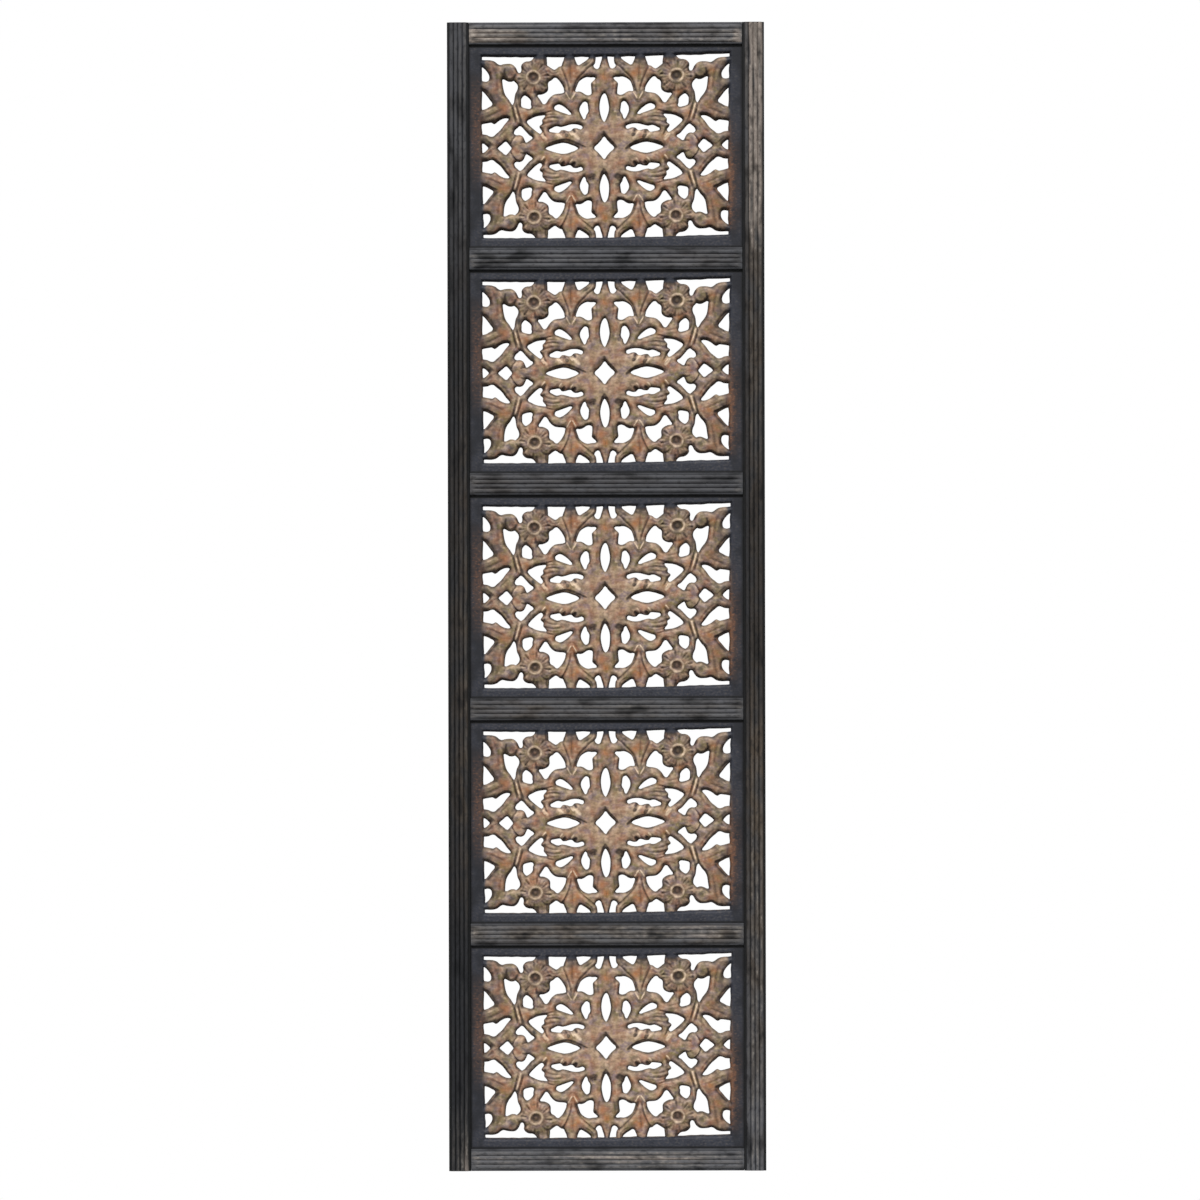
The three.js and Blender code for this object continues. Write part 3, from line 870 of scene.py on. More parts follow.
@dataclass
class Carving:
    """The one pattern that all five boards carry, worked out once as whole arrays.

    The wood is where the distance to the nearest opening is positive. The grid's squares are
    halved and clipped along the line where that distance is zero, the front is pushed back by the
    relief, walls run from its edges to the back, and the back is flat.

    Attributes:
        half_board: half the board's width and height in mm, its hidden tongue included.
        half_sight: half the width and height of it that the frame leaves in sight, in mm.
        back: the board's flat back in mm from the wall, as a negative y.
        thickness: how far its face stands before its back, in mm.
        border: the painted border's width at the sides, and at top and bottom, in mm.
        ledge: how far inside that the openings end at the sides, and at top and bottom, in mm.
        pitch: the grid's spacing in the field in mm.
        past_field: how far the even grid runs on past the field, in mm.
        frame_lines: where the grid's last lines in sight lie, in mm from the frame.
        snap: the share of the pitch within which a place is moved onto an opening's edge.
        drift: how the pattern strays from its drawing.
        flower: the four flowers' shape.
        plateau: how far the leaves' flat tops stand over the painted border, in mm.
        dome: how much lower the thinnest leaves are than the broad ones, in mm.
        dome_reach: how far from an opening a leaf has its full height, in mm.
        rounding: how deep the leaves' edges fall away beside an opening, in mm.
        rounding_reach: over how many mm they do.
        border_rounding: how deep the border's edges fall away, in mm.
        around: how far the wood counts that a place's height is compared with, in mm.
    """

    half_board: Array
    half_sight: Array
    back: float
    thickness: float = 12.0
    border: tuple[float, float] = (19.5, 15.2)
    ledge: tuple[float, float] = (2.0, 2.2)
    pitch: float = 1.2
    past_field: float = 5.5
    frame_lines: tuple[float, ...] = (7.6, 5.8, 4.2, 2.8, 1.8, 0.9, 0.0)
    snap: float = 0.33
    drift: HandDrift = field(default_factory=HandDrift)
    flower: Flower = field(default_factory=Flower)
    plateau: float = 0.25
    dome: float = 1.6
    dome_reach: float = 11.0
    rounding: float = 3.4
    rounding_reach: float = 5.6
    border_rounding: float = 0.7
    around: float = 3.2

    @property
    def half_field(self) -> Array:
        """Half the carved field's width and height in mm."""
        return self.half_sight - self.border

    @property
    def pierced(self) -> Array:
        """Half the width and height that the openings keep to, in mm."""
        return self.half_field - self.ledge

    def lines(self, axis: int) -> Array:
        """Places the grid's lines: even over the field and a little past it, then as painted shade needs.

        Args:
            axis: 0 for the lines' places across, 1 for those up.

        Returns:
            The places in mm, in rising order.
        """
        even = self.half_field[axis] + self.past_field
        middle = np.linspace(-even, even, 2 * round(even / self.pitch) + 1)
        outer = np.append(self.half_sight[axis] - self.frame_lines, self.half_board[axis])
        return np.concatenate([-outer[::-1], middle, outer])

    def in_field(self, board: Array) -> Array:
        """Says which places on the board lie in the carved field or up to 4 mm past it."""
        return (np.abs(board) < self.half_field + 4).all(1)

    def border_masks(self, board: Array, places: Array) -> dict[str, Array]:
        """Works out the masks of the painted border and of what lies on it.

        The paint fades in over the openings' straight edge, softly at the sides and at the top.
        Past it, bare brown wood shows in a strip at each side, which is narrower and stronger at
        the right. Painted shade darkens the board against the frame, widest at the top, where it
        stands for the shadow that the rail casts.

        Args:
            board: (n, 2) places on the board in mm.
            places: (n, 2) the same places folded into the drawing.

        Returns:
            The masks by name.
        """
        x, z = board.T
        right, upper = x > 0, z > 0
        past_side, past_level = (places - self.pierced).T
        shown = np.where(right, read_off(BARE_RIGHT, z), read_off(BARE_LEFT, z))
        side = past_side + read_off(PAINT_CREEP, np.abs(z)) - 6 * shown
        side += 1.2 * waver(x, z, 16.0, 21)
        level = past_level + np.where(upper, 3.0, 0.3) + 0.9 * waver(x, z, 13.0, 22)
        level_paint = np.where(upper, smoothstep(-4.5, 3.5, level), smoothstep(-1.2, 1.2, level))
        strip = past_side + 1.5 * waver(x, z, 14.0, 23)
        right_strip = 0.3 * smoothstep(25, 14, strip) + 0.7 * smoothstep(13, 4, strip)
        bare = shown * np.where(right, right_strip, smoothstep(24, 12, strip))
        from_side, from_level = (np.abs(board) - self.half_sight).T
        # Painted shadow of the rail over the board's top edge, fainter at its bottom edge, and painted
        # shade against the stiles.
        under_rail = smoothstep(-6.2, -4.2, from_level)
        level_frame_shade = np.where(upper, under_rail, 0.9 * smoothstep(-4.2, -2.2, from_level))
        return {
            "paint": np.maximum(smoothstep(-4.5, 4.5, side), level_paint),
            "bare": bare * smoothstep(-9.0, 1.0, past_side),
            "grime": np.maximum(level_frame_shade, 0.7 * smoothstep(-3.4, -1.0, from_side)),
            "flank": smoothstep(0.0, 7.0, past_side),
        }

    def folded(self, board: Array) -> Array:
        """Takes places on the board to the first quarter of the drawing, with an unsteady hand.

        Args:
            board: (n, 2) places on the board in mm.

        Returns:
            (n, 2) places of the folded drawing in mm.
        """
        x, z = board.T
        hand = 0.45 * np.stack([waver(x, z, 37.0, 5), waver(x, z, 41.0, 6)], axis=1)
        return np.abs(self.drift.undrawn(board + hand, self.half_field))

    def edge_distance(self, places: Array) -> Array:
        """Measures the wood round each place of the folded drawing.

        Args:
            places: (n, 2) places in mm.

        Returns:
            The distance to the nearest opening in mm, negative inside one, and at most 20.
        """
        limit = 20.0
        total = np.full(len(places), limit)
        for gap in GAPS.values():
            edge = gap.edge()
            near = places_near(places, edge, limit)
            distance = nearest_on_curve(places[near], edge)[0]
            inside = inside_loops(places[near], edge[:-1], edge[1:])
            signed = np.where(inside, -distance, distance)
            unsteady = 0.5 * waver(*places[near].T, 17.0, 7)
            past_edge = (places[near] - self.pierced).max(1) + unsteady
            total[near] = np.minimum(total[near], np.maximum(signed, past_edge))
        return total

    def relief(self, places: Array, edge: Array) -> Relief:
        """Works out the carving's surface.

        The surface falls away beside an opening as (1 - d/reach)^1.8, swells over broad leaves,
        and takes every rib and cut, the cuts more lightly on a flower. Past the field only its
        edges fall away.

        Args:
            places: (n, 2) places of the folded drawing in mm.
            edge: (n,) distance to the nearest opening in mm.

        Returns:
            The surface and what it is made of.
        """
        border = smoothstep(-1.5, 1.5, (places - self.half_field).max(1))
        cut, rib = np.zeros((2, len(places)))
        for mark in CUTS.values():
            mark.mark(places, rib if mark.kind is CutKind.RIDGE else cut)
        proud, ring, dish, parting = self.flower.shape(places)
        apart = np.hypot(*(places - self.flower.place).T)
        leaf = smoothstep(self.flower.ring + 2, self.flower.reach, apart)
        depth = np.clip(edge, 0, None)
        fall = np.clip(1 - depth / self.rounding_reach, 0, 1) ** 1.8
        thin = 1 - smoothstep(0, self.dome_reach, depth)
        body = self.plateau - self.dome * thin + proud * (1 - border)
        height = (1 - border) * (body + rib - cut * (0.3 + 0.7 * leaf) - self.rounding * fall)
        height = height - border * self.border_rounding * fall
        return Relief(height, depth, cut, rib, apart, ring, dish, parting)

    def stains(self, board: Array, places: Array) -> dict[str, Array]:
        """Lays the hand-placed stains, first the mirrored ones and then the board's own.

        Args:
            board: (n, 2) places on the board in mm.
            places: (n, 2) the same places folded into the drawing.

        Returns:
            How strong each kind of stain is, by its mask's name.
        """
        total = {mask: np.zeros(len(board)) for mask in (*QUARTER_STAINS, *LONE_STAINS)}
        for mask, stains in QUARTER_STAINS.items():
            for stain in stains:
                stain.mark(places, total[mask])
        total["scorch"] *= 0.85 + 0.3 * waver(*board.T, 15.0, 30)
        for mask, stains in LONE_STAINS.items():
            for stain in stains:
                stain.mark(board, total[mask])
        return total

    def colour_masks(self, board: Array, places: Array, relief: Relief) -> dict[str, Array]:
        """Works out where each colour lies on the face.

        Scorching gathers at edges, more so outwards, in cuts, between petals and in dishes. Dusk
        gathers towards the border and on the flowers, more so in the upper half, and painted shade
        darkens the leaves beside each opening, where their rounded edges fall away. Ribs and rings are
        rubbed pale, and the dishes are a little rusty.

        Args:
            board: (n, 2) places on the board in mm.
            places: (n, 2) the same places folded into the drawing.
            relief: the surface there.

        Returns:
            The masks by name.
        """
        x, z = board.T
        upper = z > 0
        stained = self.stains(board, places)
        edging = self.border_masks(board, places)
        reach = self.flower.reach
        petals = smoothstep(reach + 3, reach - 4, relief.apart)
        rim = petals * smoothstep(reach - 7, reach - 1, relief.apart)
        outward = np.hypot(*(places / self.half_field).T)
        burnt_edge = np.exp(-relief.depth / 2.0) * (0.5 + 0.5 * smoothstep(0.25, 0.85, outward))
        burnt_edge *= 0.75 + 0.6 * waver(x, z, 15.0, 31)
        burnt_edge *= 1 - 0.7 * smoothstep(-1.0, 1.0, (places - self.pierced).max(1))
        in_cut = 0.6 * np.clip(relief.cut / 1.6, 0, 1.3)
        in_flower = np.maximum(0.35 * relief.parting, 0.95 * relief.dish)
        scorch = np.max([stained["scorch"], 0.6 * rim, burnt_edge, in_cut, in_flower], 0)
        side_dusk = (np.where(x > 0, 0.75, 0.6) + 0.25 * upper) * smoothstep(140, 200, np.abs(x))
        level_dusk = np.where(upper, 0.95, 0.4) * smoothstep(112, 144, np.abs(z))
        petal_dusk = np.where(upper, 0.5, 0.3) * petals
        # Painted shade on the leaves' rounded edges beside the openings.
        painted_edge_shade = 0.75 * np.exp(-relief.depth / 3.0)
        dusk = np.max([stained["dusk"], side_dusk, level_dusk, petal_dusk, painted_edge_shade], 0)
        dusk *= 1 - 0.8 * edging["bare"]
        dusk *= 0.8 + 0.5 * waver(x, z, 26.0, 32)
        rubbed_ring = relief.ring * (0.5 + 0.4 * waver(x, z, 9.0, 33))
        return {
            "scorch": scorch,
            "rub": np.clip(np.max([stained["rub"], relief.rib / 2.2, rubbed_ring], 0), 0, 1),
            "rust": np.clip(np.maximum(stained["rust"], 0.5 * relief.dish), 0, 1),
            "middle": smoothstep(80, 30, np.hypot(x, 1.3 * z)),
            "dusk": np.clip(dusk, 0, 1),
            **edging,
        }

    def over_surroundings(self, height: Array, wood: Array) -> Array:
        """Measures how far each place of the grid stands over the wood around it.

        The surroundings are a bell-weighted mean of the wood nearby, taken along one axis and then
        along the other.

        Args:
            height: (columns, rows) heights in mm.
            wood: (columns, rows) 1 for wood and 0 for an opening.

        Returns:
            (columns, rows) the height over the surroundings, negative in a hollow.
        """
        span = np.arange(-3 * self.around, 3 * self.around + self.pitch, self.pitch)
        bell = np.exp(-0.5 * (span / self.around) ** 2)
        total, weight = height * wood, wood.astype(float)
        for axis in (0, 1):
            total = np.apply_along_axis(np.convolve, axis, total, bell, "same")
            weight = np.apply_along_axis(np.convolve, axis, weight, bell, "same")
        return height - total / np.maximum(weight, 1e-3)

    def surface(self) -> tuple[Array, Array, Array, dict[str, Array]]:
        """Builds the whole board as arrays, its middle at the origin of x and z.

        Places close to an opening's edge are first moved onto it, along the distance's slope, so
        that clipping leaves no slivers. The squares are halved by turns one way and the other.

        Returns:
            (n, 3) vertices in mm, (m, 3) triangles, (m,) finish numbers (0 the face, 1 the sawn
            walls, 2 the back), and the masks for each vertex.
        """
        x, z = np.meshgrid(self.lines(0), self.lines(1), indexing="ij")
        columns, rows = x.shape
        board = np.stack([x.ravel(), z.ravel()], axis=1)
        edge = self.edge_distance(self.folded(board))
        slope_x, slope_z = np.gradient(edge.reshape(x.shape), self.lines(0), self.lines(1))
        slope = np.stack([slope_x.ravel(), slope_z.ravel()], axis=1)
        least_steep = 0.25
        steep = np.maximum((slope**2).sum(1), least_steep)
        snapped = np.flatnonzero((np.abs(edge) < self.snap * self.pitch) & self.in_field(board))
        board[snapped] -= slope[snapped] * (edge[snapped] / steep[snapped])[:, None]
        edge[snapped] = 0.0

        number = np.arange(columns * rows).reshape(columns, rows)
        a, b = number[:-1, :-1].ravel(), number[1:, :-1].ravel()
        c, d = number[1:, 1:].ravel(), number[:-1, 1:].ravel()
        odd = np.add.outer(np.arange(columns - 1), np.arange(rows - 1)).ravel() % 2 == 1
        first = np.where(odd[:, None], np.stack([a, b, d], 1), np.stack([a, b, c], 1))
        second = np.where(odd[:, None], np.stack([b, c, d], 1), np.stack([a, c, d], 1))
        halves = np.concatenate([first, second])
        height = self.relief(self.folded(board), edge).height
        wood = (edge >= 0).reshape(x.shape)
        stands = self.over_surroundings(height.reshape(x.shape), wood)
        places, triangles = self.clipped(board, edge, halves)
        return self.closed(places, triangles, stands)

    def read_grid(self, values: Array, places: Array) -> Array:
        """Reads a grid of values at other places, blending the four nearest by their shares.

        Args:
            values: (columns, rows) values at the grid's places.
            places: (n, 2) places on the board in mm.

        Returns:
            (n,) the values there.
        """
        column = np.interp(places[:, 0], self.lines(0), np.arange(values.shape[0]))
        row = np.interp(places[:, 1], self.lines(1), np.arange(values.shape[1]))
        i = np.minimum(column.astype(int), values.shape[0] - 2)
        j = np.minimum(row.astype(int), values.shape[1] - 2)
        s, t = column - i, row - j
        low = values[i, j] * (1 - t) + values[i, j + 1] * t
        high = values[i + 1, j] * (1 - t) + values[i + 1, j + 1] * t
        return low * (1 - s) + high * s

    def clipped(self, board: Array, edge: Array, halves: Array) -> tuple[Array, Array]:
        """Keeps the part of each triangle that is wood.

        A triangle with one corner on wood keeps the tip there, and one with two loses its tip. The
        new places lie where the distance, taken as straight along a side, is zero.

        Args:
            board: (n, 2) the grid's places.
            edge: (n,) the distance to the nearest opening there.
            halves: (m, 3) the grid's triangles, anticlockwise.

        Returns:
            (k, 2) places and (j, 3) triangles, with no spare place.
        """
        inside = edge[halves] >= 0
        count = inside.sum(1)
        whole = halves[(count == 3) & (edge[halves].max(1) > 0)]
        one, two = halves[count == 1], halves[count == 2]
        rolls = (np.arange(3)[None, :] + np.argmax(edge[one] >= 0, 1)[:, None]) % 3
        one = np.take_along_axis(one, rolls, 1)
        rolls = (np.arange(3)[None, :] + np.argmax(edge[two] < 0, 1)[:, None]) % 3
        two = np.take_along_axis(two, rolls, 1)
        pairs = np.concatenate([one[:, [0, 1]], one[:, [0, 2]], two[:, [1, 0]], two[:, [2, 0]]])
        keys, where = np.unique(pairs, axis=0, return_inverse=True)
        share = edge[keys[:, 0]] / (edge[keys[:, 0]] - edge[keys[:, 1]])
        crossing = board[keys[:, 0]] + (board[keys[:, 1]] - board[keys[:, 0]]) * share[:, None]
        vertex = np.where(edge[keys[:, 0]] == 0, keys[:, 0], len(board) + np.arange(len(keys)))
        made = vertex[where.ravel()]
        n, m = len(one), len(two)
        near, far, left, right = made[:n], made[n : 2 * n], made[2 * n : 2 * n + m], made[2 * n + m :]
        triangles = np.concatenate([
            whole,
            np.stack([one[:, 0], near, far], 1),
            np.stack([left, two[:, 1], two[:, 2]], 1),
            np.stack([left, two[:, 2], right], 1),
        ])
        same = (triangles == np.roll(triangles, 1, axis=1)).any(1)
        used, triangles = np.unique(triangles[~same], return_inverse=True)
        return np.concatenate([board, crossing])[used], triangles.reshape(-1, 3)

    def closed(
        self, flat: Array, face: Array, stands: Array
    ) -> tuple[Array, Array, Array, dict[str, Array]]:
        """Gives the clipped face its relief, its walls and its back.

        A boundary edge is one whose reverse belongs to no triangle. Each one carries a wall of two
        triangles to the back, and the same edges bound the back's triangles. Scorch is laid darker on
        slopes that face down, as painted shade, and lighter on slopes that face up, which also get a
        painted highlight through the crest mask.

        Args:
            flat: (n, 2) places of the face.
            face: (m, 3) its triangles.
            stands: (columns, rows) how far the grid's places stand over the wood around them.

        Returns:
            The same as surface.
        """
        folded = self.folded(flat)
        edge = self.edge_distance(folded)
        sides = np.concatenate([face[:, [0, 1]], face[:, [1, 2]], face[:, [2, 0]]])
        span = len(flat)
        lone = ~np.isin(sides[:, 0] * span + sides[:, 1], sides[:, 1] * span + sides[:, 0])
        rim = sides[lone]
        bound = np.unique(rim)
        edge[bound[self.in_field(flat[bound])]] = 0.0
        relief = self.relief(folded, edge)
        masks = self.colour_masks(flat, folded, relief)
        stand = self.read_grid(stands, flat)
        # Painted shade, with dark stain, in the hollows and in the flowers' dishes.
        masks["hollow"] = np.clip(np.maximum(-stand / 1.3, 0.8 * relief.dish), 0, 1)
        masks["crest"] = np.clip(stand / 1.1, 0, 1)
        masks["grain_place"] = np.stack([flat[:, 0], relief.height, flat[:, 1]], 1) * MM
        front = np.stack([flat[:, 0], self.back - self.thickness - relief.height, flat[:, 1]], 1)
        upward = self.upward(front, face)
        # Painted shade: scorch grows on slopes that face down and fades on slopes that face up, and those
        # gain a painted highlight through the crest mask.
        lit = 0.6 * smoothstep(0.1, 0.6, -upward) - 0.8 * smoothstep(0.1, 0.6, upward)
        masks["scorch"] = np.clip(masks["scorch"] * (1 + lit), 0, 1)
        masks["crest"] += 0.55 * smoothstep(0.15, 0.6, upward)
        copy = np.zeros(span, int)
        copy[bound] = span + np.arange(len(bound))
        rear = np.stack([flat[bound, 0], np.full(len(bound), self.back), flat[bound, 1]], 1)
        start, end = rim.T
        walls = np.concatenate([
            np.stack([end, start, copy[start]], 1),
            np.stack([end, copy[start], copy[end]], 1),
        ])
        local = np.searchsorted(bound, rim)
        back = self.back_triangles(flat[bound], local) + span
        triangles = np.concatenate([face, walls, back])
        finish_of = np.repeat([0, 1, 2], [len(face), len(walls), len(back)])
        masks = {name: np.concatenate([m, m[bound]]) for name, m in masks.items()}
        return np.concatenate([front, rear]), triangles, finish_of, masks

    def upward(self, places: Array, triangles: Array) -> Array:
        """Measures how far each place of a surface faces up, as its normal's rise from -1 to 1.

        A place's normal is the sum of its triangles' cross products.

        Args:
            places: (n, 3) places in mm.
            triangles: (m, 3) triangles.

        Returns:
            (n,) the normals' rises.
        """
        first, second, third = (places[triangles[:, i]] for i in range(3))
        across = np.cross(second - first, third - first)
        normal = np.stack(
            [
                sum(np.bincount(triangles[:, i], across[:, axis], len(places)) for i in range(3))
                for axis in range(3)
            ],
            axis=1,
        )
        return normal[:, 2] / np.maximum(np.linalg.norm(normal, axis=1), 1e-9)

    def back_triangles(self, places: Array, rim: Array) -> Array:
        """Fills the flat back between its edges.

        It is a constrained Delaunay triangulation of the boundary, less the triangles whose middle
        the even-odd rule puts in an opening.

        Args:
            places: (n, 2) the boundary's places.
            rim: (m, 2) its edges.

        Returns:
            (k, 3) triangles, clockwise seen from the front.
        """
        made, _, faces, origin, _, _ = geometry.delaunay_2d_cdt(
            [Vector(p) for p in places.tolist()], rim.tolist(), [], 0, 1e-9
        )
        source = np.array([o[0] if o else -1 for o in origin])
        triangles = source[np.array([f for f in faces if len(f) == 3])]
        if len(made) != len(places) or (triangles < 0).any():
            LOG.warning("the back gained %d places", len(made) - len(places))
        middle = places[triangles].mean(1)
        kept = np.concatenate([
            inside_loops(part, places[rim[:, 0]], places[rim[:, 1]])
            for part in np.array_split(middle, 12)
        ])
        triangles = triangles[kept]
        return np.where(anticlockwise(places, triangles), triangles[:, ::-1], triangles)


def add_node(
    tree: bpy.types.NodeTree, kind: str, settings: dict[str, str] | None = None, **inputs: object
) -> bpy.types.Node:
    """Adds a node to a tree, sets it up and feeds its inputs.

    Args:
        tree: the node tree.
        kind: the node's type name.
        settings: properties to set on the node.
        inputs: an input's identifier, or its name with underscores for spaces, and the output
            socket or the value that feeds it.

    Returns:
        The new node.
    """
    node = tree.nodes.new(kind)
    for name, value in (settings or {}).items():
        setattr(node, name, value)
    for name, value in inputs.items():
        named = name.replace("_", " ")
        socket = next(s for s in node.inputs if name == s.identifier or named == s.name and s.enabled)
        if isinstance(value, bpy.types.NodeSocket):
            tree.links.new(value, socket)
        else:
            socket.default_value = value
    return node


@dataclass(frozen=True)
class Grain:
    """A noise over the piece's own places: its size in mm, its stretch along each axis, its detail."""

    size: float
    stretch: tuple[float, float, float] = (1.0, 1.0, 1.0)
    detail: float = 3.0


@dataclass(frozen=True)
class Coat:
    """One colour laid over the ones before it.

    Attributes:
        colour: its sRGB hex colour.
        grain: the name of the noise that breaks it up.
        span: the noise's values between which its cover changes.
        cover: its cover at and below the first of those values, and at and above the second.
        masks: the mesh's masks that hold it in, each with the values between which it fades in.
    """

    colour: str
    grain: str
    span: tuple[float, float]
    cover: tuple[float, float]
    masks: tuple[tuple[str, float, float], ...] = ()


@dataclass(frozen=True)
class Finish:
    """A layered finish: a base colour, then coats, over one bumpy surface.

    Attributes:
        name: the material's name.
        base: the colour under all coats.
        grains: its noises by name. The one called "bump" also roughens the surface.
        coats: the coats in the order in which they are laid.
        roughness: how matt it is.
        sheen: how strongly it mirrors the room.
        bump: how high its roughness stands, in mm.
        place: the mesh's attribute that holds the places, in metres, that the noises follow.
    """

    name: str
    base: str
    grains: dict[str, Grain]
    coats: tuple[Coat, ...]
    roughness: float
    sheen: float
    bump: float
    place: str = "grain_place"

    def build(self) -> bpy.types.Material:
        """Lays the coats one over another as Mix nodes, each with its own share.

        A coat's share is its noise, mapped to its cover, times each of its masks.

        Returns:
            The material.
        """
        material = bpy.data.materials.new(self.name)
        material.use_nodes = True
        tree = material.node_tree
        shader = tree.nodes["Principled BSDF"]
        place = add_node(tree, "ShaderNodeAttribute", {"attribute_name": self.place}).outputs["Vector"]
        noises = {}
        for name, grain in self.grains.items():
            stretched = add_node(tree, "ShaderNodeMapping", Vector=place, Scale=grain.stretch)
            noises[name] = add_node(
                tree, "ShaderNodeTexNoise", Vector=stretched.outputs["Vector"],
                Scale=1 / (grain.size * MM), Detail=grain.detail,
            ).outputs["Fac"]
        used = sorted({mask for coat in self.coats for mask, _, _ in coat.masks})
        masks = {
            mask: add_node(tree, "ShaderNodeAttribute", {"attribute_name": mask}).outputs["Fac"]
            for mask in used
        }
        colour = linear(self.base)
        for coat in self.coats:
            share = add_node(
                tree, "ShaderNodeMapRange", Value=noises[coat.grain], From_Min=coat.span[0],
                From_Max=coat.span[1], To_Min=coat.cover[0], To_Max=coat.cover[1],
            ).outputs["Result"]
            for mask, low, high in coat.masks:
                held = add_node(
                    tree, "ShaderNodeMapRange", Value=masks[mask], From_Min=low, From_Max=high
                ).outputs["Result"]
                share = add_node(
                    tree, "ShaderNodeMath", {"operation": "MULTIPLY"}, Value=share, Value_001=held
                ).outputs["Value"]
            colour = add_node(
                tree, "ShaderNodeMix", {"data_type": "RGBA"}, Factor_Float=share, A_Color=colour,
                B_Color=linear(coat.colour),
            ).outputs[2]
        tree.links.new(colour, shader.inputs["Base Color"])
        shader.inputs["Roughness"].default_value = self.roughness
        shader.inputs["Specular IOR Level"].default_value = self.sheen
        bump = add_node(
            tree, "ShaderNodeBump", Strength=0.7, Distance=self.bump * MM, Height=noises["bump"]
        )
        tree.links.new(bump.outputs["Normal"], shader.inputs["Normal"])
        return material


# Carved hardwood, stained and rubbed back: warm tan leaves with paler, olive, violet and rust-brown
# patches, dark stain lying in the cuts, cream where high ribs are rubbed through, scorched rims,
# and a border of flat slate paint that is worn to brown wood at the sides. Painted shade lies in
# the hollows, on the leaves' rounded edges, on rims that face down, over the middle openings and
# against the frame, and a painted highlight on slopes that face up. The pores of such wood are
# under a millimetre wide, and are drawn 2.8 mm wide so that they show in the picture.
CARVED_FACE = Finish(
    "carved_stained_hardwood",
    "#69574a",
    {
        "patch": Grain(38.0, detail=2.0),
        "tint": Grain(21.0, detail=2.0),
        "streak": Grain(10.0, (0.6, 1.0, 1.0), 2.0),
        "bump": Grain(7.0, (0.8, 1.0, 1.0), 3.0),
        "fine": Grain(2.8, (0.6, 1.0, 1.0), 2.0),
    },
    (
        Coat("#8e7761", "patch", (0.42, 0.60), (0.0, 0.9)),
        Coat("#615a30", "tint", (0.50, 0.62), (0.0, 0.8)),
        Coat("#80503c", "tint", (0.48, 0.36), (0.0, 0.75)),
        Coat("#9e8771", "tint", (0.34, 0.60), (0.25, 0.75), (("middle", 0.0, 1.0),)),
        Coat("#6d5f67", "streak", (0.50, 0.62), (0.0, 0.68)),
        Coat("#7f5c42", "streak", (0.46, 0.33), (0.0, 0.4)),
        Coat("#473a31", "bump", (0.52, 0.35), (0.0, 0.6)),
        Coat("#ad967f", "bump", (0.54, 0.68), (0.0, 0.45)),
        Coat("#925d30", "streak", (0.37, 0.57), (0.2, 0.88), (("rust", 0.0, 1.0),)),
        Coat("#4a3b30", "fine", (0.54, 0.36), (0.0, 0.12)),
        Coat("#b89d80", "fine", (0.52, 0.70), (0.0, 0.12)),
        # Painted shade, with dark stain, in the hollows and dishes.
        Coat("#30261e", "bump", (0.68, 0.36), (0.5, 0.9), (("hollow", 0.06, 0.8),)),
        # Rubbed pale crests, with a painted highlight on slopes that face up.
        Coat("#b59e86", "bump", (0.36, 0.62), (0.2, 0.7), (("crest", 0.15, 1.0),)),
        Coat("#d8c1a6", "bump", (0.30, 0.62), (0.4, 0.9), (("rub", 0.15, 1.0),)),
        # Dusk, with painted shade on the leaves' rounded edges.
        Coat("#373330", "bump", (0.66, 0.36), (0.5, 1.0), (("dusk", 0.0, 1.0),)),
        # Scorch, with painted shade on rims that face down and over the middle openings.
        Coat("#281e18", "bump", (0.70, 0.38), (0.65, 0.98), (("scorch", 0.15, 0.9),)),
        Coat("#292b33", "bump", (0.3, 0.6), (1.0, 1.0), (("paint", 0.1, 0.9),)),
        Coat("#1e2028", "patch", (0.45, 0.60), (0.0, 0.6), (("paint", 0.5, 1.0),)),
        Coat("#474340", "fine", (0.52, 0.68), (0.0, 0.5), (("paint", 0.5, 1.0),)),
        Coat("#15161b", "fine", (0.48, 0.32), (0.0, 0.5), (("paint", 0.5, 1.0),)),
        Coat("#16171c", "patch", (0.40, 0.58), (0.25, 0.9), (("flank", 0.0, 1.0),)),
        Coat("#342a27", "bump", (0.36, 0.58), (0.3, 1.0), (("bare", 0.0, 0.55),)),
        Coat("#5f402e", "bump", (0.40, 0.58), (0.1, 0.9), (("bare", 0.5, 1.0),)),
        Coat("#85583c", "fine", (0.55, 0.68), (0.0, 0.6), (("bare", 0.1, 1.1),)),
        # Painted shadow under the rails and painted shade against the frame, near black.
        Coat("#050506", "bump", (0.3, 0.6), (0.9, 1.0), (("grime", 0.0, 1.0),)),
    ),
    roughness=0.65,
    sheen=0.25,
    bump=0.4,
)
# Sawn hardwood inside the openings: dark stain over upright saw marks, matt.
SAWN_WALL = Finish(
    "sawn_stained_edge",
    "#33281f",
    {"bump": Grain(2.2, (1.0, 0.25, 1.0), 3.0)},
    (Coat("#574434", "bump", (0.4, 0.65), (0.0, 0.8)),),
    roughness=0.8,
    sheen=0.25,
    bump=0.3,
)
# Planed hardwood on the boards' backs: thin brown stain, streaked along the board.
BOARD_BACK = Finish(
    "stained_board_back",
    "#4a3b2f",
    {"bump": Grain(9.0, (0.12, 1.0, 1.0), 4.0)},
    (Coat("#6f5945", "bump", (0.38, 0.66), (0.0, 0.8)),),
    roughness=0.78,
    sheen=0.25,
    bump=0.3,
)
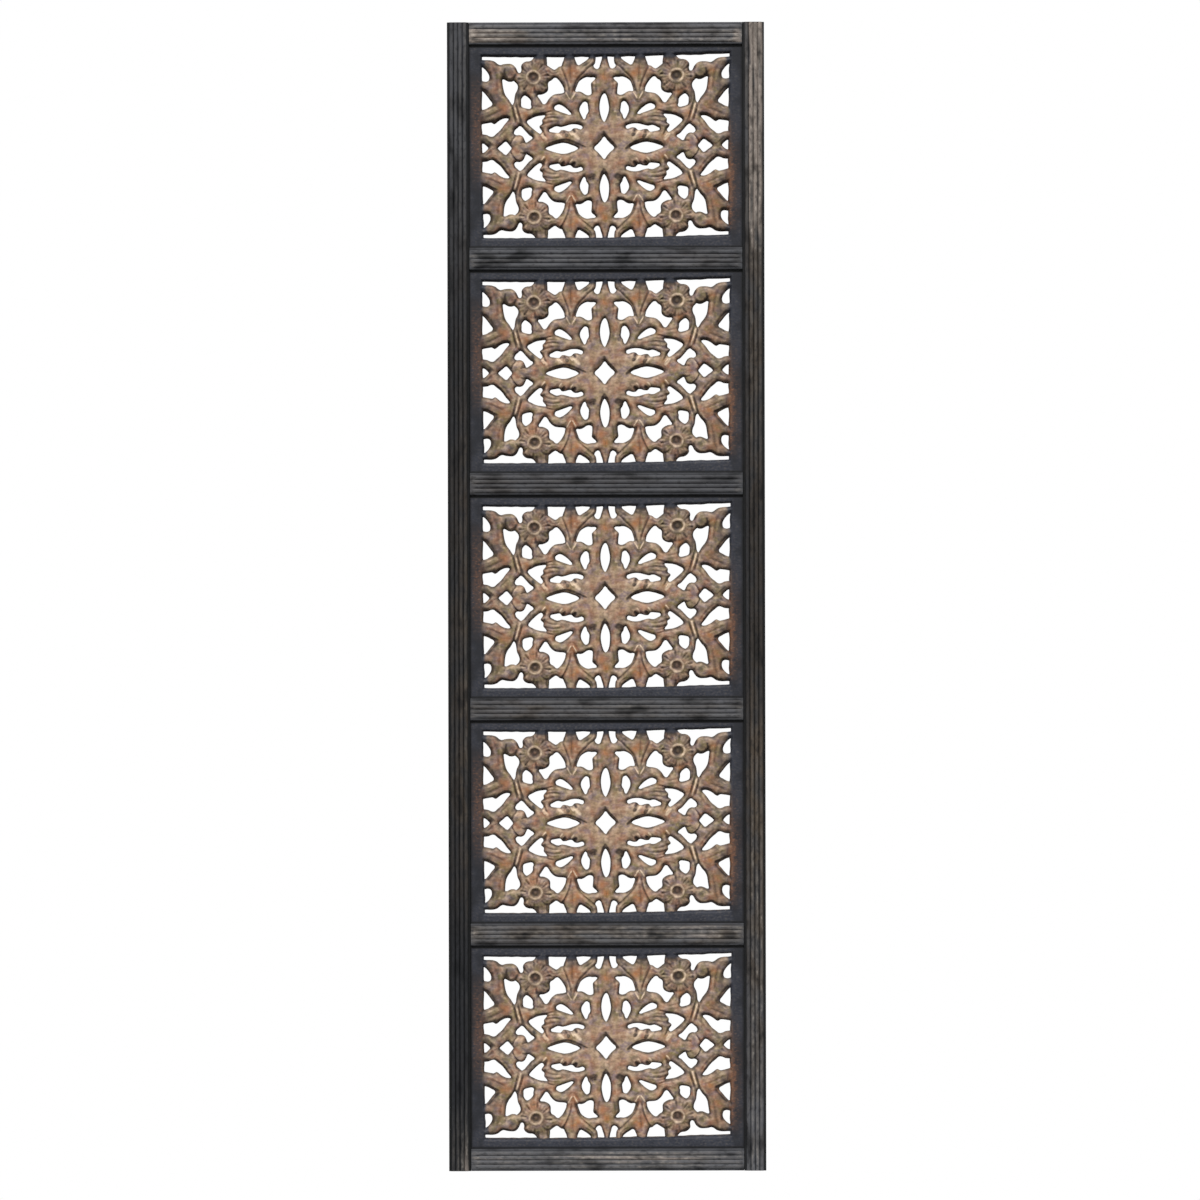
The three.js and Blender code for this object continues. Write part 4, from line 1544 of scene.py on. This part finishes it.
# Blackened hardwood, moulded to reeds: black, greyer where the paint is thin, with thin pale lines
# where the crests are rubbed through and brown where the black has worn off. The streaks run with
# the grain, and are drawn 3.4 mm wide where real ones are finer, so that they show.
REEDED_FRAME = Finish(
    "blackened_reeded_hardwood",
    "#070808",
    {
        "patch": Grain(22.0, (1.0, 1.0, 0.4), 3.0),
        "streak": Grain(3.4, (1.0, 1.0, 0.09), 3.0),
        "bump": Grain(2.8, (1.0, 1.0, 0.35), 4.0),
        "chip": Grain(5.0, (1.0, 1.0, 0.55), 2.0),
    },
    (
        Coat("#18191c", "bump", (0.30, 0.62), (0.3, 1.0), (("crest", 0.0, 0.6),)),
        Coat("#4b4c50", "patch", (0.34, 0.60), (0.45, 1.0), (("grey", 0.0, 1.0), ("crest", 0.0, 0.5))),
        Coat("#41372c", "patch", (0.62, 0.42), (0.15, 1.0), (("brown", 0.0, 1.0), ("crest", 0.0, 0.5))),
        Coat("#69645e", "streak", (0.34, 0.62), (0.2, 0.9), (("rub", 0.0, 1.0), ("crest", 0.3, 0.9))),
        Coat("#756c65", "streak", (0.30, 0.44), (0.8, 1.0), (("rub", 0.6, 0.95), ("crest", -0.3, 0.1))),
        Coat("#a1998f", "chip", (0.54, 0.66), (0.0, 0.5), (("rub", 0.3, 0.9), ("crest", 0.4, 0.9))),
        Coat("#17181a", "chip", (0.46, 0.34), (0.0, 0.45)),
        Coat("#0c0d0f", "patch", (0.46, 0.32), (0.0, 0.75)),
    ),
    roughness=0.6,
    sheen=0.14,
    bump=0.4,
)


@dataclass
class FretworkBoard:
    """One carved board, standing for its plain solid.

    Attributes:
        node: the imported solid's name.
        name: the finished piece's name.
        crisp: the angle in degrees past which its edges are drawn sharp.
    """

    node: str
    name: str
    crisp: float = 48.0

    def build(self, carving_arrays: tuple[Array, Array, Array, dict[str, Array]]) -> bpy.types.Object:
        """Sets the shared carving in this board's place.

        Args:
            carving_arrays: what Carving.surface gave.

        Returns:
            The piece, riding on the frame's one body.
        """
        places, triangles, finish_of, masks = carving_arrays
        low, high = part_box(self.node)
        centre = (low + high) / 2
        moved = places * MM + (centre.x, 0.0, centre.z)
        piece = make_piece(self.name, moved, triangles, finish_of, masks, self.crisp)
        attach(piece, "root")
        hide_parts(self.node)
        return piece

    def dress(self, piece: bpy.types.Object, finishes: tuple[bpy.types.Material, ...]) -> None:
        """Gives the piece its three finishes: the face, the sawn walls and the back."""
        for finish in finishes:
            piece.data.materials.append(finish)


class Run(Enum):
    """Which way a frame member runs."""

    UPRIGHT = "stile"
    LEVEL = "rail"


@dataclass(frozen=True)
class Wear:
    """How far a member's reeds are worn, by its length and by its reeds.

    Attributes:
        grey: how grey the black is, as (share of the length, amount) pairs from the start.
        rub: how pale the crests are, in the same way.
        brown: how brown the wood between shows, in the same way.
        reeds: how much of either each reed gets, from the near edge to the far one.
    """

    grey: Points
    rub: Points
    brown: Points
    reeds: tuple[float, float, float, float]


@dataclass
class ReededMember:
    """One stile or rail with four round reeds, standing for its faceted solid.

    Attributes:
        node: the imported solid's name.
        run: whether it stands or lies.
        near_groove: whether the left or upper edge holds a board.
        far_groove: whether the right or lower edge holds a board.
        wear: how it is worn, from its top or left end.
        seed: picks its dents and streaks.
        reed_width: a reed's width in mm.
        reed_rise: a reed's height over the member's flat in mm.
        flats: the number of steps round a reed.
        round_over: the front corners' radius in mm.
        groove_depth: how deep the boards sit in the member in mm.
        groove: the groove's front and back in mm from the wall.
        run_out: the lengths over which a rail's reeds rise from its ends in mm.
        worn_share: the share of a reed's rise that is worn off at the most.
        dent_share: how much of it a dent takes, for each 1 of the dent's depth.
        least_share: the share of it that wear and dents always leave.
        station: the spacing of the sections in mm.
        crisp: the angle in degrees past which its edges are drawn sharp.
    """

    node: str
    run: Run
    near_groove: bool
    far_groove: bool
    wear: Wear
    seed: int
    reed_width: float = 7.0
    reed_rise: float = 2.4
    flats: int = 8
    round_over: float = 1.2
    groove_depth: float = 6.0
    groove: tuple[float, float] = (-18.3, -5.7)
    run_out: tuple[float, float] = (3.0, 9.0)
    worn_share: float = 0.16
    dent_share: float = 0.4
    least_share: float = 0.3
    station: float = 5.4
    crisp: float = 40.0

    def section(self, width: float, depth: float) -> tuple[Array, Array, Array]:
        """Draws the member's section as a closed loop, from its near edge at the wall.

        Each reed is a half ellipse, y = floor - rise sin(angle), and the front corners are
        quarter rounds. The reeds stand side by side in the middle of the width.

        Args:
            width: the member's width in mm.
            depth: its depth in mm, to the reeds' crests.

        Returns:
            (n, 2) points across and in depth, each point's rise in mm, and the number of its reed
            from 0 with -1 off the reeds.
        """
        floor = -(depth - self.reed_rise)
        reeds = len(self.wear.reeds)
        margin = (width - reeds * self.reed_width) / 2
        front, back = self.groove
        lip = np.array([(0, back), (self.groove_depth, back), (self.groove_depth, front), (0, front)])
        no_lip = np.empty((0, 2))
        turn = np.linspace(0, math.pi / 2, 4)
        round_over = self.round_over * np.stack([1 - np.cos(turn), 1 - np.sin(turn)], 1) + (0, floor)
        step = np.arange(reeds * self.flats + 1)
        half = (step / self.flats) % 1
        reed = np.minimum(step // self.flats, reeds - 1)
        rise = self.reed_rise * np.sin(math.pi * half)
        across = margin + self.reed_width * (step // self.flats + (1 - np.cos(math.pi * half)) / 2)
        crown = np.stack([across, np.full(len(across), floor)], 1)
        mirrored = (width, 0.0)
        parts = [
            np.array([(0.0, 0.0)]),
            lip if self.near_groove else no_lip,
            round_over,
            crown,
            (round_over * (-1, 1) + mirrored)[::-1],
            (lip * (-1, 1) + mirrored)[::-1] if self.far_groove else no_lip,
            np.array([mirrored]),
        ]
        before = sum(len(part) for part in parts[:3])
        points = np.concatenate(parts)
        rises, reed_of = np.zeros(len(points)), np.full(len(points), -1)
        rises[before : before + len(crown)] = rise
        reed_of[before : before + len(crown)] = reed
        return points, rises, reed_of

    def build(self) -> bpy.types.Object:
        """Carries the section along the member, with dents and worn crests.

        The surface is place(i, k) = section point i moved along the member to station k. A reed's
        rise grows from a rail's ends as a smooth step, and wear and dents only lower it.

        Returns:
            The piece, riding on the frame's one body.
        """
        low, high = (np.array(corner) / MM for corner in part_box(self.node))
        upright = self.run is Run.UPRIGHT
        width = (high - low)[0 if upright else 2]
        length = (high - low)[2 if upright else 0]
        points, rises, reed_of = self.section(width, -low[1])
        stations = np.linspace(0, length, max(2, round(length / self.station) + 1))
        across = np.broadcast_to(points[:, 0, None], (len(points), len(stations)))
        along = np.broadcast_to(stations, across.shape)
        from_end = np.minimum(along, length - along)
        standing = np.ones(across.shape) if upright else smoothstep(*self.run_out, from_end)
        worn = 0.5 + 0.5 * waver(across * 9, along, 70.0, self.seed)
        dents = np.clip(waver(across * 3, along, 15.0, self.seed + 40) - 0.5, 0, 1)
        left = 1 - self.worn_share * worn - self.dent_share * dents
        rise = rises[:, None] * standing * np.clip(left, self.least_share, 1.0)
        front = points[:, 1, None] - rise
        if upright:
            places = np.stack([low[0] + across, front, high[2] - along], axis=-1)
        else:
            places = np.stack([low[0] + along, front, high[2] - across], axis=-1)
        n, m = across.shape
        number = np.arange(n * m).reshape(n, m)
        following = np.roll(number, -1, axis=0)
        a, b = number[:, :-1].ravel(), following[:, :-1].ravel()
        c, d = following[:, 1:].ravel(), number[:, 1:].ravel()
        walls = np.concatenate([np.stack([a, b, c], 1), np.stack([a, c, d], 1)])
        flat_end = [Vector((*p, 0.0)) for p in points.tolist()]
        cap = np.array(geometry.tessellate_polygon([flat_end]))
        cap = np.where(anticlockwise(points, cap), cap, cap[:, ::-1])
        triangles = np.concatenate([walls, number[:, 0][cap[:, ::-1]], number[:, -1][cap]])
        if upright:
            triangles = triangles[:, ::-1]
        one_finish = np.zeros(len(triangles))
        masks = self.masks(across, front, along, rises / self.reed_rise, reed_of)
        moved = places.reshape(-1, 3) * MM
        piece = make_piece(f"reeded_{self.node}", moved, triangles, one_finish, masks, self.crisp)
        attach(piece, "root")
        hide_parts(self.node)
        return piece

    def masks(
        self, across: Array, front: Array, along: Array, rise: Array, reed_of: Array
    ) -> dict[str, Array]:
        """Works out the colour masks from the wear.

        The crest mask rises from its least value in the quirks between the reeds to 1 on the
        crests in step with the width, which is 2/pi arcsin of the rise. Rubbing comes in long
        bands, and adds a pale spot near each end of a rail's reeds.

        Args:
            across: (n, m) places across the member in mm.
            front: (n, m) places in depth.
            along: (n, m) places along it.
            rise: (n,) each section point's share of the reeds' rise.
            reed_of: (n,) each section point's reed, or -1.

        Returns:
            The masks by name, one value or vector for each vertex.
        """
        level = self.run is Run.LEVEL
        wear = self.wear
        share = along / along.max()
        off_reeds = 0.2
        weight = np.where(reed_of < 0, off_reeds, np.array(wear.reeds)[reed_of])[:, None]
        grey, rub, brown = (read_off(pairs, share) for pairs in (wear.grey, wear.rub, wear.brown))
        bands = 0.85 + 0.3 * waver(across * 12, along, 120.0, self.seed + 80)
        from_end = np.minimum(along, along.max() - along)
        pale_end = 0.4 * np.exp(-(((from_end - 8.0) / 4.0) ** 2)) if level else 0.0
        crest = (2 / math.pi * np.arcsin(np.clip(rise, 0, 1)))[:, None]
        crest = crest * np.clip(0.85 + 0.35 * waver(across * 6, along, 30.0, self.seed + 120), 0.2, 1.2)
        # The stiles' flat margins and quirks stay near black, partly as painted shade along the stiles'
        # edges; the rails' stay grey.
        least = 0.35 if level else 0.05
        own_grain = 100.0 * self.seed
        place = np.stack([across + own_grain, front, along], axis=-1)
        return {
            "crest": (least + (1 - least) * crest).ravel(),
            "rub": np.clip(rub * weight * bands + pale_end * weight, 0, 1.2).ravel(),
            "brown": np.clip(brown * weight, 0, 1).ravel(),
            "grey": grey.ravel(),
            "grain_place": place.reshape(-1, 3) * MM,
        }

    def dress(self, piece: bpy.types.Object, finish: bpy.types.Material) -> None:
        """Gives the piece its blackened finish."""
        piece.data.materials.append(finish)


# How each member is worn: where it is grey, rubbed pale and brown along its length, and how much
# each of its reeds shows of that.
WEAR: dict[str, Wear] = {
    "left_stile": Wear(
        ((0, 0.6), (0.12, 0.45), (0.28, 0.05), (1, 0.05)),
        ((0, 0.45), (0.06, 0.3), (0.2, 0.12), (0.45, 0.2), (0.6, 0.3), (0.8, 0.05), (0.94, 0.1),
         (0.97, 0.6), (1, 0.7)),
        ((0, 0.0), (0.35, 0.2), (0.5, 0.5), (0.7, 0.5), (0.8, 0.0), (1, 0.0)),
        (0.5, 0.6, 0.9, 1.2),
    ),
    "right_stile": Wear(
        ((0, 0.6), (0.2, 0.25), (0.4, 0.1), (0.6, 0.1), (0.8, 0.3), (0.9, 0.6), (1, 0.9)),
        ((0, 1.1), (0.17, 1.0), (0.22, 0.4), (0.36, 0.3), (0.42, 0.08), (0.56, 0.08), (0.62, 0.35),
         (0.8, 0.6), (0.9, 0.55), (1, 0.5)),
        ((0, 0.6), (0.3, 0.6), (0.42, 0.35), (0.56, 0.35), (0.65, 1.0), (0.8, 0.7), (0.95, 0.2),
         (1, 0.0)),
        (0.4, 1.0, 1.0, 0.95),
    ),
    "top_rail": Wear(
        ((0, 1.0), (1, 1.0)),
        ((0, 1.1), (0.18, 1.0), (0.24, 0.65), (0.55, 0.7), (0.66, 0.5), (0.85, 0.65), (1, 0.8)),
        ((0, 0.8), (0.2, 0.6), (0.25, 0.1), (0.6, 0.2), (0.75, 0.5), (1, 0.1)),
        (0.4, 0.8, 0.9, 1.0),
    ),
    "rail_1": Wear(
        ((0, 0.75), (1, 0.7)),
        ((0, 0.4), (0.5, 0.2), (0.85, 0.35), (1, 0.1)),
        ((0, 0.0), (0.6, 0.0), (0.8, 0.3), (1, 0.0)),
        (0.3, 0.9, 0.9, 0.6),
    ),
    "rail_2": Wear(
        ((0, 0.6), (1, 0.6)),
        ((0, 0.25), (0.5, 0.15), (1, 0.2)),
        ((0, 0.3), (0.5, 0.2), (1, 0.0)),
        (0.5, 0.7, 0.5, 0.8),
    ),
    "rail_3": Wear(
        ((0, 0.65), (1, 0.7)),
        ((0, 0.2), (0.2, 0.3), (0.6, 0.5), (1, 0.25)),
        ((0, 0.2), (0.2, 0.6), (0.4, 0.2), (1, 0.2)),
        (0.5, 0.9, 0.7, 0.8),
    ),
    "rail_4": Wear(
        ((0, 0.7), (1, 0.7)),
        ((0, 0.45), (0.3, 0.5), (0.6, 0.6), (0.9, 0.75), (1, 0.3)),
        ((0, 0.3), (0.3, 0.7), (0.7, 0.3), (0.9, 0.9), (1, 0.2)),
        (0.9, 1.0, 1.0, 0.5),
    ),
    "bottom_rail": Wear(
        ((0, 0.8), (1, 0.8)),
        ((0, 0.3), (0.1, 0.6), (0.3, 0.5), (0.4, 0.8), (0.8, 0.8), (1, 0.2)),
        ((0, 0.0), (1, 0.0)),
        (0.7, 1.1, 0.9, 0.7),
    ),
}
FIRST_SEED = 11
MEMBERS = tuple(
    ReededMember(
        node,
        Run.UPRIGHT if node.endswith("stile") else Run.LEVEL,
        near_groove=node not in ("left_stile", "top_rail"),
        far_groove=node not in ("right_stile", "bottom_rail"),
        wear=wear,
        seed=FIRST_SEED + order,
    )
    for order, (node, wear) in enumerate(WEAR.items())
)
BOARD_COUNT = 5


@dataclass
class Studio:
    """The plain pale floor, the soft light and the camera.

    Attributes:
        frame_pixels: the picture's width and height.
        pixel_mm: how many mm of the panel one pixel shows.
        panel_middle: where the panel's middle lies in the picture, in pixels.
        distance: the camera's distance from the boards in m.
        lean_degrees: how far the camera is turned, so that the panel leans to the right.
        floor_drop: how far the floor lies below the panel's origin in m.
        floor_half: half the floor's side in m.
        lamp_power: the lamp's strength.
        lamp_spread_degrees: how wide the lamp looks from the panel.
        lamp_travel: which way the lamp's light travels.
        room: how bright the room is, as (height, level) pairs. Height 0 lies straight below, 0.5
            on the panel's level and 1 straight above.
    """

    frame_pixels: float = 1200.0
    pixel_mm: float = 1.5917
    panel_middle: tuple[float, float] = (606.6, 596.5)
    distance: float = 7.0
    lean_degrees: float = -0.12
    floor_drop: float = 2.8
    floor_half: float = 1.1
    lamp_power: float = 4.4
    lamp_spread_degrees: float = 14.0
    lamp_travel: tuple[float, float, float] = (0.10, 0.72, -0.75)
    room: Points = ((0.0, 0.03), (0.38, 0.05), (0.41, 1.0), (0.59, 1.0), (0.63, 0.5), (1.0, 0.6))

    def camera(self) -> None:
        """Points a long-lensed camera straight at the panel."""
        low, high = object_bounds()
        middle = (low + high) / 2
        right, down = (p - self.frame_pixels / 2 for p in self.panel_middle)
        data = bpy.data.cameras.new("portrait_camera")
        data.sensor_width = 36.0
        pixel = self.pixel_mm * MM
        data.lens = data.sensor_width * self.distance / (self.frame_pixels * pixel)
        camera = bpy.data.objects.new("portrait_camera", data)
        aim = Vector((middle.x - right * pixel, low.y, middle.z + down * pixel))
        camera.location = aim + Vector((0.0, -self.distance, 0.0))
        upright = Matrix.Rotation(math.radians(90.0), 4, "X")
        lean = Matrix.Rotation(math.radians(self.lean_degrees), 4, "Z")
        camera.rotation_euler = (upright @ lean).to_euler()
        bpy.context.scene.collection.objects.link(camera)
        bpy.context.scene.camera = camera

    def floor(self) -> None:
        """Lays the pale floor under the panel, clear of the picture."""
        across = self.floor_half * np.array([-1, 1, 1, -1])
        deep = self.floor_half * np.array([-1, -1, 1, 1])
        corners = np.stack([across, deep, np.full(4, -self.floor_drop)], 1)
        halves = np.array([(0, 1, 2), (0, 2, 3)])
        floor = make_piece("studio_floor", corners, halves, np.zeros(len(halves)), {}, 30.0)
        paper = bpy.data.materials.new("matt_white_paper")
        paper.use_nodes = True
        shader = paper.node_tree.nodes["Principled BSDF"]
        shader.inputs["Base Color"].default_value = linear("#f4f4f2")
        shader.inputs["Roughness"].default_value = 0.9
        floor.data.materials.append(paper)
        floor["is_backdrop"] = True

    def light(self) -> None:
        """Hangs one large soft lamp high in front, in a room that lights the panel from its level.

        The room gives little light from below, and the camera sees plain white all round.
        """
        lamp = bpy.data.lights.new("high_soft_lamp", "SUN")
        lamp.energy = self.lamp_power
        lamp.angle = math.radians(self.lamp_spread_degrees)
        lamp_object = bpy.data.objects.new("high_soft_lamp", lamp)
        aim = Vector(self.lamp_travel).to_track_quat("-Z", "Y")
        lamp_object.rotation_euler = aim.to_euler()
        bpy.context.scene.collection.objects.link(lamp_object)
        world = bpy.data.worlds.new("white_room")
        world.use_nodes = True
        tree = world.node_tree
        direction = add_node(tree, "ShaderNodeTexCoord").outputs["Generated"]
        height = add_node(tree, "ShaderNodeSeparateXYZ", Vector=direction).outputs["Z"]
        share = add_node(
            tree, "ShaderNodeMapRange", Value=height, From_Min=-1.0, From_Max=1.0
        ).outputs["Result"]
        ramp = add_node(tree, "ShaderNodeValToRGB", Fac=share)
        elements = ramp.color_ramp.elements
        for height_share, _ in self.room[1:-1]:
            elements.new(height_share)
        for element, (height_share, level) in zip(elements, self.room):
            element.position = height_share
            element.color = (level, level, level, 1.0)
        room = tree.nodes["Background"]
        tree.links.new(ramp.outputs["Color"], room.inputs["Color"])
        paper = add_node(tree, "ShaderNodeBackground", Color=(1.0, 1.0, 1.0, 1.0))
        seen = add_node(tree, "ShaderNodeLightPath").outputs["Is Camera Ray"]
        shown = add_node(tree, "ShaderNodeMixShader", Fac=seen)
        tree.links.new(room.outputs["Background"], shown.inputs[1])
        tree.links.new(paper.outputs["Background"], shown.inputs[2])
        tree.links.new(shown.outputs["Shader"], tree.nodes["World Output"].inputs["Surface"])
        bpy.context.scene.world = world
        bpy.context.scene.view_settings.view_transform = "Standard"


def main() -> None:
    """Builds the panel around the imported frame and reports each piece."""
    logging.basicConfig(level=logging.INFO, format="%(name)s: %(message)s")
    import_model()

    board_low, board_high = (np.array(corner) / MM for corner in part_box("carved_panel_1"))
    stile_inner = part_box("right_stile")[0].x / MM
    rail_gap = (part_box("top_rail")[0].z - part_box("rail_1")[1].z) / MM
    half_board = (board_high - board_low)[[0, 2]] / 2
    carving = Carving(half_board, np.array([stile_inner, rail_gap / 2]), board_high[1])
    arrays = carving.surface()
    LOG.info("carving: %d vertices, %d triangles", len(arrays[0]), len(arrays[1]))

    finishes = tuple(finish.build() for finish in (CARVED_FACE, SAWN_WALL, BOARD_BACK))
    for number in range(1, BOARD_COUNT + 1):
        board = FretworkBoard(f"carved_panel_{number}", f"fretwork_board_{number}")
        piece = board.build(arrays)
        board.dress(piece, finishes)
        LOG.info("%s stands for %s", piece.name, board.node)

    blackened = REEDED_FRAME.build()
    for member in MEMBERS:
        piece = member.build()
        member.dress(piece, blackened)
        LOG.info("%s stands for %s: %d triangles", piece.name, member.node, len(piece.data.polygons))

    studio = Studio()
    studio.camera()
    studio.floor()
    studio.light()


if __name__ == "__main__":
    main()
